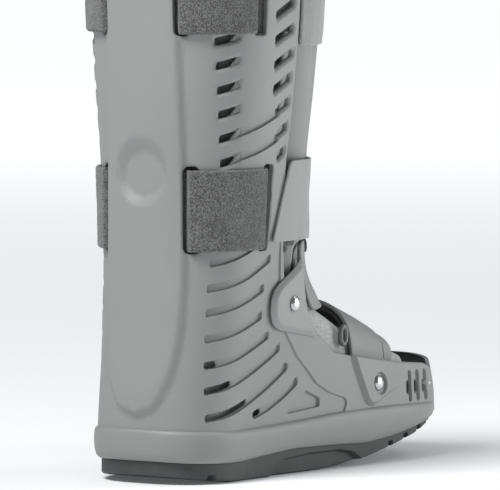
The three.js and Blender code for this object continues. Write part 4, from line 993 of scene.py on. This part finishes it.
loop_cloth = Finish("loop_cloth", roughness=1.0, sheen_weight=0.35, sheen_roughness=0.6)
curls = loop_cloth.grain(1500, 4, 0.75)
fibres = loop_cloth.grain(1100, 3, 0.75)
patches = loop_cloth.grain(90, 3, 0.6)
strand = loop_cloth.ramp(fibres * 0.6 + curls * 0.4 + (patches - 0.5) * 0.1, (0.44, 0), (0.6, 1))
loop_cloth.feed(
    base_color=loop_cloth.blend(strand, (0.02, 0.02, 0.0195), (0.25, 0.255, 0.245)),
    normal=loop_cloth.bump(curls + fibres, 0.0009, 0.9),
)
for (name, out_range, in_range), low in zip(BAND_WAYS, BAND_LOWS):
    finish_piece(
        build_band(low, out_range, in_range), name + "_loop_band", loop_cloth,
        [name + "_strap"], smooth=60,
    )

# Closing tabs.
# Light grey twill tabs with hooks behind them: they close each band over the front panel.
# The lower one has a slanted left edge and starts over the shell's front pillar.
TAB_SHEET, TAB_THICKNESS, TAB_EDGE_ROUND, TAB_CORNER = 150, 1.8, 0.8, 3.0
HEM_INSET, HEM_HALF, HEM_DEPTH = 3.0, 0.5, 0.25
TABS = (
    # name, low, high, left edge angle low and high, right edge angle, over the shell
    ("mid", 148.2, 199.0, 84, 99, 256, True),
    ("top", 270.4, 325.2, 105.5, 105.5, 248, False),
)


def tab_depth(angle, over_shell):
    """How far out a tab's inner face runs at an angle: over the shell or band, then the plate."""
    over_band = lambda at: panel_face(at) + BAND_THICKNESS + 0.9
    rear = 0.3 if over_shell else over_band(103)
    steps = (rear, max(rear, over_band(113)), over_band(116.5), PANEL_FRONT + 0.9)
    return np.interp(from_back(angle), (103, 113, 120, 132), steps)


def build_tab(low, high, left_low, left_high, right, over_shell):
    height = high - low
    bm = flat_sheet(130, 40, (0, TAB_SHEET), (0, height))
    weave = bm.loops.layers.uv.new("weave")
    for face in bm.faces:
        for loop in face.loops:
            loop[weave].uv = (loop.vert.co.x * 0.00105, loop.vert.co.y * 0.001)
    rim = lambda p: -box_hole(p[:, 0], p[:, 1], (0, TAB_SHEET), (0, height), TAB_CORNER)
    cut_along(bm, rim, 0.001, keep=1)
    for level in (0.35, 0.9):
        cut_along(bm, rim, level)
    flat = slab(bm, TAB_THICKNESS)
    edge = rim(flat)
    left = left_low + (left_high - left_low) * flat[:, 1] / height
    angle = left + (right - left) * flat[:, 0] / TAB_SHEET
    depth = edge_round(flat, edge, TAB_EDGE_ROUND, TAB_THICKNESS) + TAB_THICKNESS
    hem = HEM_DEPTH * np.exp(-(((edge - HEM_INSET) / HEM_HALF) ** 2))
    swell = (ruffle(flat, 18, 0.35, 3.0) - hem) * (depth > TAB_THICKNESS / 2)
    put(bm, leg_place(angle, low + flat[:, 1], tab_depth(angle, over_shell) + depth + swell))
    bmesh.ops.recalc_face_normals(bm, faces=bm.faces)
    return bm


twill_cloth = Finish("twill_cloth", roughness=0.85, sheen_weight=0.15)
weave_place = twill_cloth.node("UVMap", {"uv_map": "weave"})
ribs = twill_cloth.node(
    "TexWave", {"bands_direction": "DIAGONAL"},
    {"Vector": weave_place, "Scale": 470, "Distortion": 1.6, "Detail": 2}, out=1,
)
threads = twill_cloth.grain(2200, 2, 0.6, where=weave_place, stretch=(1, 0.3, 1))
shade = twill_cloth.grain(30, 3, 0.6)
twill_cloth.feed(
    base_color=twill_cloth.blend(
        ribs * 0.55 + threads * 0.35 + shade * 0.1, (0.29, 0.3, 0.29), (0.5, 0.515, 0.5)
    ),
    normal=twill_cloth.bump(ribs + 0.4 * threads, 0.0004, 0.7),
)
for name, *shape in TABS:
    finish_piece(
        build_tab(*shape), name + "_twill_tab", twill_cloth,
        [name + "_strap_tab"], smooth=50,
    )

# Ankle plates.
# A wing of the same plastic on each side of the ankle, with a broad bevel round its edge.
# One rivet holds it to the shell, and the ankle strap runs in under it. The wings' plastic is
# painted lighter than the shell's: painted light, for the light that falls on them.
PLATE_THICKNESS, PLATE_OFF_SHELL = 3.2, 0.3
PLATE_BEVEL_START, PLATE_BEVEL_WIDTH, PLATE_BEVEL_DEPTH = 0.5, 3.2, 2.0
PLATE_ROUND_WIDTH, PLATE_ROUND_DEPTH = 0.7, 0.5
WELL_RADIUS, WELL_HALF, WELL_DEPTH = 5.6, 0.8, 0.4
PLATE_OUTLINE = (
    (33.5, 137), (36, 136.5), (38, 134.6), (45.4, 129.6), (60.4, 122), (66, 118), (68.6, 113),
    (69.2, 106.5), (68.2, 100.5), (65, 95.6), (60.4, 93), (56.4, 92), (44, 89.8), (30, 87.4),
    (18.5, 85), (16, 84.8), (16, 86.4), (20, 91), (26.5, 100), (31.2, 109.6), (33.4, 122), (33.8, 129),
)
ANKLE_RIVET = (46.8, 108.4)


def side_place(y, z, out):
    """A point of the left side at a station and height."""
    part = part_where(z, lambda px, py: -py, -np.asarray(y, float))
    x, _ = form_outline(part, z, out)
    return np.column_stack([-x, y, z])


def soft_outline(outline, passes=2):
    """Cuts the corners of a closed outline."""
    points = np.array(outline, float)
    for _ in range(passes):
        following = np.roll(points, -1, axis=0)
        cut = (points * 0.75 + following * 0.25, points * 0.25 + following * 0.75)
        points = np.stack(cut, axis=1).reshape(-1, 2)
    return points


def flip_side(bm):
    """Turns a left piece into its right twin."""
    bmesh.ops.scale(bm, vec=(-1, 1, 1), verts=bm.verts)
    bmesh.ops.reverse_faces(bm, faces=bm.faces)
    return bm


def build_plate(side):
    outline = soft_outline(PLATE_OUTLINE)
    rim = lambda p: -distance_to_outline(p[:, :2], outline)
    bm = flat_sheet(40, 36, (9, 72), (82, 141))
    cut_along(bm, rim, 0, keep=1)
    for level in (PLATE_ROUND_WIDTH, PLATE_BEVEL_WIDTH):
        cut_along(bm, rim, level)
    flat = slab(bm, PLATE_THICKNESS)
    edge = rim(flat)
    bevel = PLATE_BEVEL_DEPTH * (1 - eased(edge, PLATE_BEVEL_START, PLATE_BEVEL_WIDTH))
    bevel = bevel + PLATE_ROUND_DEPTH * np.clip(1 - edge / PLATE_ROUND_WIDTH, 0, 1) ** 2
    outer = np.abs(flat[:, 2]) < PLATE_THICKNESS / 2
    out = np.where(outer, PLATE_OFF_SHELL + PLATE_THICKNESS - bevel, PLATE_OFF_SHELL)
    from_rivet = np.hypot(flat[:, 0] - ANKLE_RIVET[0], flat[:, 1] - ANKLE_RIVET[1])
    well = np.clip(1 - np.abs(from_rivet - WELL_RADIUS) / WELL_HALF, 0, 1)
    put(bm, side_place(flat[:, 0], flat[:, 1], out - WELL_DEPTH * well * outer))
    bmesh.ops.recalc_face_normals(bm, faces=bm.faces)
    return flip_side(bm) if side == "right" else bm


# Painted light: the same plastic as the shell, painted lighter for the light that falls on the wings.
wing_plastic_painted_light = moulded_plastic("wing_plastic_painted_light", 20, (0.295, 0.3, 0.295), (0.345, 0.35, 0.345))
for side in ("left", "right"):
    finish_piece(
        build_plate(side), "ankle_wing_" + side, wing_plastic_painted_light,
        ["ankle_plate_" + side], smooth=42,
    )

# Rivets.
# Domed steel rivets, set through the shell: one holds each ankle wing, and one in each
# boss holds an end of the forefoot strap.
RIVET_HEAD, RIVET_RISE, RIVET_RIM, RIVET_CHAMFER = 4.9, 2.2, 0.45, (0.3, 0.2)
RIVET_SHANK, RIVET_TAIL, RIVET_TAIL_THICKNESS = 2, 3.9, 1.2
RIVETS = (
    # name, place, how far out its head and its tail sit
    ("ankle", ANKLE_RIVET, 3.6, -5.1), ("forefoot", FOREFOOT_RIVET, 1.1, -7.3),
)


def build_rivet(spot, face, back, side):
    """Half section spun about its axis, which then points out to the left."""
    bm = bmesh.new()
    dome = [
        (RIVET_HEAD * math.sin(a), face + RIVET_RIM + (RIVET_RISE - RIVET_RIM) * math.cos(a))
        for a in np.linspace(math.pi / 2, 0, 9)
    ]
    section = [
        (0, back - RIVET_TAIL_THICKNESS), (RIVET_TAIL, back - RIVET_TAIL_THICKNESS), (RIVET_TAIL, back),
        (RIVET_SHANK, back), (RIVET_SHANK, face), (RIVET_HEAD - RIVET_CHAMFER[0], face),
        (RIVET_HEAD, face + RIVET_CHAMFER[1]), *dome,
    ]
    verts = [bm.verts.new((r, 0, h)) for r, h in section]
    edges = [bm.edges.new(pair) for pair in zip(verts, verts[1:])]
    bmesh.ops.spin(
        bm, geom=verts + edges, cent=(0, 0, 0), axis=(0, 0, 1), angle=math.tau, steps=36, use_merge=True
    )
    bmesh.ops.remove_doubles(bm, verts=bm.verts, dist=0.001)
    bmesh.ops.dissolve_degenerate(bm, edges=bm.edges, dist=0.0005)
    bmesh.ops.rotate(bm, cent=(0, 0, 0), matrix=Matrix.Rotation(-math.pi / 2, 3, "Y"), verts=bm.verts)
    bmesh.ops.translate(bm, vec=(0, *spot), verts=bm.verts)
    bmesh.ops.recalc_face_normals(bm, faces=bm.faces)
    return flip_side(bm) if side == "right" else bm


rivet_metal = Finish("rivet_metal", metallic=1.0, roughness=0.2)
scuff = rivet_metal.grain(500, 3, 0.6)
rivet_metal.feed(
    base_color=rivet_metal.blend(scuff, (0.42, 0.43, 0.43), (0.6, 0.6, 0.6)),
    roughness=0.14 + 0.22 * scuff,
    normal=rivet_metal.bump(scuff, 0.00008, 0.3),
)
for name, spot, *outs in RIVETS:
    face, back = (-side_place(*np.array([spot]).T, out)[0, 0] for out in outs)
    for side in ("left", "right"):
        finish_piece(
            build_rivet(spot, face, back, side), name + "_rivet_head_" + side, rivet_metal,
            [name + "_rivet_" + side], smooth=40,
        )

# Ankle strap.
# Smooth coated strap over the instep, held between the wings and the shell. It is lined
# with pale brushed cloth, whose fuzzy edge shows behind the strap's own.
STRAP_EDGE_ROUND = 0.9
ANKLE_OUTLINE = (
    (38.5, 140.6), (34, 144), (30, 146.6), (-29.2, 146.6), (-35, 106), (0, 103.8), (20.4, 101.2),
    (30, 102.2), (35, 109.6), (38.5, 122.8),
)
ANKLE_FACE_OUTLINE = (
    (31.6, 144.5), (29, 146.6), (-29.2, 146.6), (-35, 106), (0, 103.8), (16, 102), (20.6, 104),
    (25.4, 112), (28.8, 122), (31, 132),
)


def front_place(flat, out):
    """Bends a flat point over the front: x runs 0 left back to 2 right back, 1 is the front line."""
    share = 1 - np.abs(1 - flat[:, 0])
    part = even_part(share, flat[:, 1])
    x, y = form_outline(part, flat[:, 1], out)
    return np.column_stack([np.where(flat[:, 0] <= 1, -x, x), y, flat[:, 1]])


def build_ankle_layer(outline, face, thickness, uneven):
    rim = lambda flat: -distance_to_outline(front_place(flat, face)[:, 1:], outline)
    bm = flat_sheet(96, 26, (0.42, 1.58), (99.5, 148))
    cut_along(bm, rim, 0, keep=1)
    for level in (0.3, STRAP_EDGE_ROUND):
        cut_along(bm, rim, level)
    flat = slab(bm, thickness)
    depth = edge_round(flat, rim(flat), STRAP_EDGE_ROUND, thickness)
    points = front_place(flat, face + depth)
    swell = ruffle(points, 1.5, uneven) + ruffle(points, 16, 0.3, 2.0)
    put(bm, front_place(flat, face + depth + swell * (depth > -thickness / 2)))
    bmesh.ops.recalc_face_normals(bm, faces=bm.faces)
    return bm


coated_cloth = Finish("coated_cloth", roughness=0.55)
mesh_grain = coated_cloth.grain(1900, 2, 0.5)
broad = coated_cloth.grain(35, 3, 0.6)
coated_cloth.feed(
    base_color=coated_cloth.blend(broad * 0.6 + mesh_grain * 0.4, (0.23, 0.236, 0.23), (0.33, 0.337, 0.33)),
    roughness=0.48 + 0.2 * broad,
    normal=coated_cloth.bump(mesh_grain, 0.00018, 0.5),
)


def napped(name, dark, light):
    """Brushed cloth: curled fibres from dark to light."""
    made = Finish(name, roughness=1.0, sheen_weight=0.3, sheen_roughness=0.6)
    curls = made.grain(1400, 4, 0.75)
    return made.feed(
        base_color=made.blend(made.ramp(curls, (0.4, 0), (0.66, 1)), dark, light),
        normal=made.bump(curls, 0.0008, 0.9),
    )


pale_nap = napped("pale_nap", (0.11, 0.113, 0.11), (0.5, 0.51, 0.5))
dark_nap = napped("dark_nap", (0.012, 0.0125, 0.0125), (0.075, 0.077, 0.075))
finish_piece(
    build_ankle_layer(ANKLE_FACE_OUTLINE, -0.6, 2.2, 0.0), "ankle_strap_face", coated_cloth,
    ["ankle_strap"], smooth=50,
)
finish_piece(
    build_ankle_layer(ANKLE_OUTLINE, -2.9, 1.8, 0.25), "ankle_strap_pile", pale_nap,
    ["ankle_strap_lining"], smooth=60,
)

# Ankle ring.
# A small oval ring of black plastic wire. It lies flat on the left of the ankle strap,
# just below the lower closing tab.
ANKLE_RING_WIRE, ANKLE_RING_ACROSS, ANKLE_RING_UP = 1.1, 3.0, 3.9
ANKLE_RING_ANGLE, ANKLE_RING_HEIGHT, ANKLE_RING_OUT, DEGREES_PER_MM = 149, 142.4, 1.3, 1.1


def build_ring(half_across, half_up, wire):
    """An oval of round wire lying flat in the XY plane."""
    bm = bmesh.new()
    made = bmesh.ops.create_circle(bm, cap_ends=False, segments=12, radius=wire)
    bmesh.ops.rotate(bm, cent=(0, 0, 0), matrix=Matrix.Rotation(math.pi / 2, 3, "X"), verts=made["verts"])
    bmesh.ops.translate(bm, vec=(half_up, 0, 0), verts=made["verts"])
    bmesh.ops.spin(
        bm, geom=bm.verts[:] + bm.edges[:], cent=(0, 0, 0), axis=(0, 0, 1), angle=math.tau, steps=48,
        use_merge=True,
    )
    points = places(bm)
    radius = np.hypot(points[:, 0], points[:, 1])
    points[:, 0] *= 1 + (half_across - half_up) / np.maximum(radius, 1e-6)
    put(bm, points)
    bmesh.ops.recalc_face_normals(bm, faces=bm.faces)
    return bm


def ring_plastic(name, dark, light):
    """Smooth plastic wire with small specks of tone."""
    made = Finish(name, roughness=0.4)
    specks = made.grain(1200, 2)
    return made.feed(
        base_color=made.blend(specks, dark, light), roughness=0.3 + 0.25 * specks,
        normal=made.bump(specks, 0.0001, 0.3),
    )


ankle_ring = build_ring(ANKLE_RING_ACROSS, ANKLE_RING_UP, ANKLE_RING_WIRE)
across, up, out = places(ankle_ring).T
ring_angle = ANKLE_RING_ANGLE + across * DEGREES_PER_MM
put(ankle_ring, leg_place(ring_angle, ANKLE_RING_HEIGHT + up, ANKLE_RING_OUT + out))
bmesh.ops.recalc_face_normals(ankle_ring, faces=ankle_ring.faces)
finish_piece(
    ankle_ring, "ankle_wire_ring", ring_plastic("black_ring", (0.008, 0.008, 0.008), (0.02, 0.02, 0.02)),
    ["ankle_ring"], smooth=60,
)

# Forefoot strap.
# An arched strap of the same coated cloth over the forefoot, riveted inside the foot
# walls. It is lined with black cloth, and its end is folded over in front.
STRAP_THICKNESS, LINING_THICKNESS, LINING_INSET = 2.6, 2.0, 3.2
STRAP_RANGE, FOLD_RANGE = (29, 66), (66.6, 77.5)
STRAP_FOOT, LINING_FOOT, FOLD_FOOT = 43.9, 82.6, 64.01
LEG_SHARE, WALL_INSET, WALL_HEIGHT = 0.22, -4.1, 60
ARCH_BASE = 64.0
ARCH_ROWS = smooth_curve((
    # how far forward, crest, half width
    (29, 106.5, 46.8), (40, 102, 46.8), (52, 96.6, 46.8), (66, 90, 46.6),
))
ARCH_END_ROWS = smooth_curve(((66.6, 88.4, 46.2), (72, 86, 46.2), (77.5, 83, 45.8)))
ARCH_ROUND = 3.0


def arch_place(flat, rows, inset, foot):
    """Bends a flat point over the foot: x runs -1 left foot to 1 right foot, y is how far forward."""
    crest, half = np.moveaxis(rows(flat[:, 1]), -1, 0)
    rise = crest - inset - ARCH_BASE
    legs = LEG_SHARE if foot < ARCH_BASE else 0.0
    along = np.abs(flat[:, 0])
    low = np.arcsin(np.clip((foot - ARCH_BASE) / rise, 0, 1) ** (ARCH_ROUND / 2))
    bend = np.clip(low + (math.pi / 2 - low) * (1 - along / (1 - legs)), 0, math.pi / 2)
    x = (half - inset) * np.cos(bend) ** (2 / ARCH_ROUND)
    z = ARCH_BASE + rise * np.sin(bend) ** (2 / ARCH_ROUND)
    # Below the arch the strap's legs run down inside the foot walls.
    down = np.clip((along - (1 - legs)) / legs, 0, 1) if legs else np.zeros(len(flat))
    height = ARCH_BASE - (ARCH_BASE - foot) * down
    wall = -side_place(-flat[:, 1], np.where(down > 0, height, WALL_HEIGHT), WALL_INSET)[:, 0] - inset
    x = np.where(down > 0, wall, x)
    z = np.where(down > 0, height, z)
    return np.column_stack([np.sign(flat[:, 0]) * x, -flat[:, 1], z])


def build_arch(rows, reach, inset, thickness, foot, uneven, lengthwise=14):
    bm = flat_sheet(120, lengthwise, (-1, 1), reach)
    bmesh.ops.reverse_faces(bm, faces=bm.faces)
    edge_of = lambda flat: np.minimum(flat[:, 1] - reach[0], reach[1] - flat[:, 1])
    for level in (0.35, STRAP_EDGE_ROUND):
        cut_along(bm, edge_of, level)
    flat = slab(bm, thickness)
    depth = edge_round(flat, edge_of(flat), STRAP_EDGE_ROUND, thickness)
    points = arch_place(flat, rows, inset, foot)
    swell = ruffle(points, 1.6, uneven) + ruffle(points, 15, 0.35, 4.0)
    put(bm, arch_place(flat, rows, inset - depth - swell * (depth > -thickness / 2), foot))
    bmesh.ops.recalc_face_normals(bm, faces=bm.faces)
    return bm


strap_face = build_arch(ARCH_ROWS, STRAP_RANGE, 0.0, STRAP_THICKNESS, STRAP_FOOT, 0.0)
finish_piece(
    strap_face, "forefoot_strap_face", coated_cloth, ["forefoot_strap"], smooth=50,
)
strap_pile = build_arch(ARCH_ROWS, STRAP_RANGE, LINING_INSET, LINING_THICKNESS, LINING_FOOT, 0.2)
finish_piece(
    strap_pile, "forefoot_strap_pile", dark_nap, ["forefoot_strap_lining"], smooth=60,
)
strap_fold = build_arch(ARCH_END_ROWS, FOLD_RANGE, 0.0, STRAP_THICKNESS, FOLD_FOOT, 0.0, 6)
finish_piece(
    strap_fold, "forefoot_strap_fold", coated_cloth, ["forefoot_strap_end"], smooth=50,
)

# Forefoot ring.
# An upright oval ring of grey plastic wire that hangs at the rear edge of the forefoot
# strap, on the left.
FOREFOOT_RING_WIRE, FOREFOOT_RING_ACROSS, FOREFOOT_RING_UP = 1.6, 5.6, 3.1
FOREFOOT_RING_PLACE = (-44.6, -22.2, 83.5)
forefoot_ring = build_ring(FOREFOOT_RING_ACROSS, FOREFOOT_RING_UP, FOREFOOT_RING_WIRE)
upright = Matrix.Rotation(math.pi / 2, 3, "Y")
bmesh.ops.rotate(forefoot_ring, cent=(0, 0, 0), matrix=upright, verts=forefoot_ring.verts)
bmesh.ops.translate(forefoot_ring, vec=FOREFOOT_RING_PLACE, verts=forefoot_ring.verts)
finish_piece(
    forefoot_ring, "forefoot_wire_ring", ring_plastic("grey_ring", (0.13, 0.135, 0.13), (0.19, 0.195, 0.19)),
    ["forefoot_ring"], smooth=60,
)

# Toe tie.
# The light end of a braided textile tie. It is fixed inside the toe cup and stands out of
# the front slot on the left.
TIE_RADIUS, TIE_LENGTH, TIE_PLACE = 1.15, 8.4, (-50.4, -108.5, 47.4)
PLAIT_DEPTH, PLAIT_TWIST, TIE_END_TAPER = 0.1, 2.6, 0.75


def build_tie():
    bm = bmesh.new()
    bmesh.ops.create_cone(
        bm, cap_ends=True, segments=14, radius1=TIE_RADIUS, radius2=TIE_RADIUS, depth=TIE_LENGTH
    )
    lengthwise = [e for e in bm.edges if abs(e.verts[0].co.z - e.verts[1].co.z) > 1]
    bmesh.ops.subdivide_edges(bm, edges=lengthwise, cuts=11)
    points = places(bm)
    turn = np.arctan2(points[:, 1], points[:, 0])
    plait = 1 + PLAIT_DEPTH * np.sin(2 * turn + points[:, 2] * PLAIT_TWIST)
    taper = np.where(points[:, 2] > TIE_LENGTH / 2 - 0.1, TIE_END_TAPER, 1)
    points[:, :2] *= (plait * taper)[:, None]
    put(bm, points)
    outward = Matrix.Rotation(-math.pi / 2, 3, "Y")
    bmesh.ops.rotate(bm, cent=(0, 0, 0), matrix=outward, verts=bm.verts)
    bmesh.ops.translate(bm, vec=TIE_PLACE, verts=bm.verts)
    return bm


tie_cord = Finish("tie_cord", roughness=0.8)
fibre = tie_cord.grain(1800, 3, 0.6)
tie_cord.feed(
    base_color=tie_cord.blend(fibre, (0.75, 0.76, 0.75), (0.92, 0.92, 0.91)),
    normal=tie_cord.bump(fibre, 0.0003, 0.6),
)
finish_piece(build_tie(), "toe_tie_end", tie_cord, ["toe_tie"], smooth=50)

# Floor and light.
# A wide plain floor that glows further off, so that it fades to white behind. The main
# light stands behind and above, a weak one in front on the left, and a low one shines
# from close by on the toe.
floor_sheet = flat_sheet(2, 2, (-40, 40), (-40, 40))
floor_mesh = bpy.data.meshes.new("floor")
floor_sheet.to_mesh(floor_mesh)
floor_sheet.free()
floor_piece = put_in_scene("floor", floor_mesh)
floor_paint = Finish("floor_paint", roughness=0.9, base_color=(0.84, 0.85, 0.86), emission_strength=1.0)
far = floor_paint.node("VectorMath", {"operation": "LENGTH"}, {0: floor_paint.spot}, out=1)
glow = floor_paint.ramp(far * 0.1, (0.0, 0), (0.37, 1))
floor_paint.feed(emission_color=floor_paint.blend(glow, (0.05, 0.055, 0.06), (0.82, 0.84, 0.86)))
floor_mesh.materials.append(floor_paint.material)


def soft_light(name, azimuth, elevation, distance, width, power):
    """A square light that looks at the boot's middle."""
    data = bpy.data.lights.new(name, "AREA")
    data.shape, data.size, data.energy = "SQUARE", width, power
    lamp = put_in_scene(name, data)
    a, e = math.radians(azimuth), math.radians(elevation)
    spot = Vector((math.sin(a) * math.cos(e), -math.cos(a) * math.cos(e), math.sin(e)))
    lamp.location = spot * distance + Vector((0, 0, 0.2))
    lamp.rotation_euler = spot.to_track_quat("Z", "Y").to_euler()
    return lamp


soft_light("back_light", 170, 56, 2.5, 0.9, 66)
soft_light("front_left_light", 320, 50, 2.6, 1.1, 9)
soft_light("toe_light", 312, 0, 0.7, 0.3, 2.0)
world = bpy.data.worlds.new("studio")
world.use_nodes = True
world.node_tree.nodes["Background"].inputs["Color"].default_value = (0.93, 0.95, 1, 1)
world.node_tree.nodes["Background"].inputs["Strength"].default_value = 0.18
bpy.context.scene.world = world
bpy.context.scene.view_settings.view_transform = "Standard"
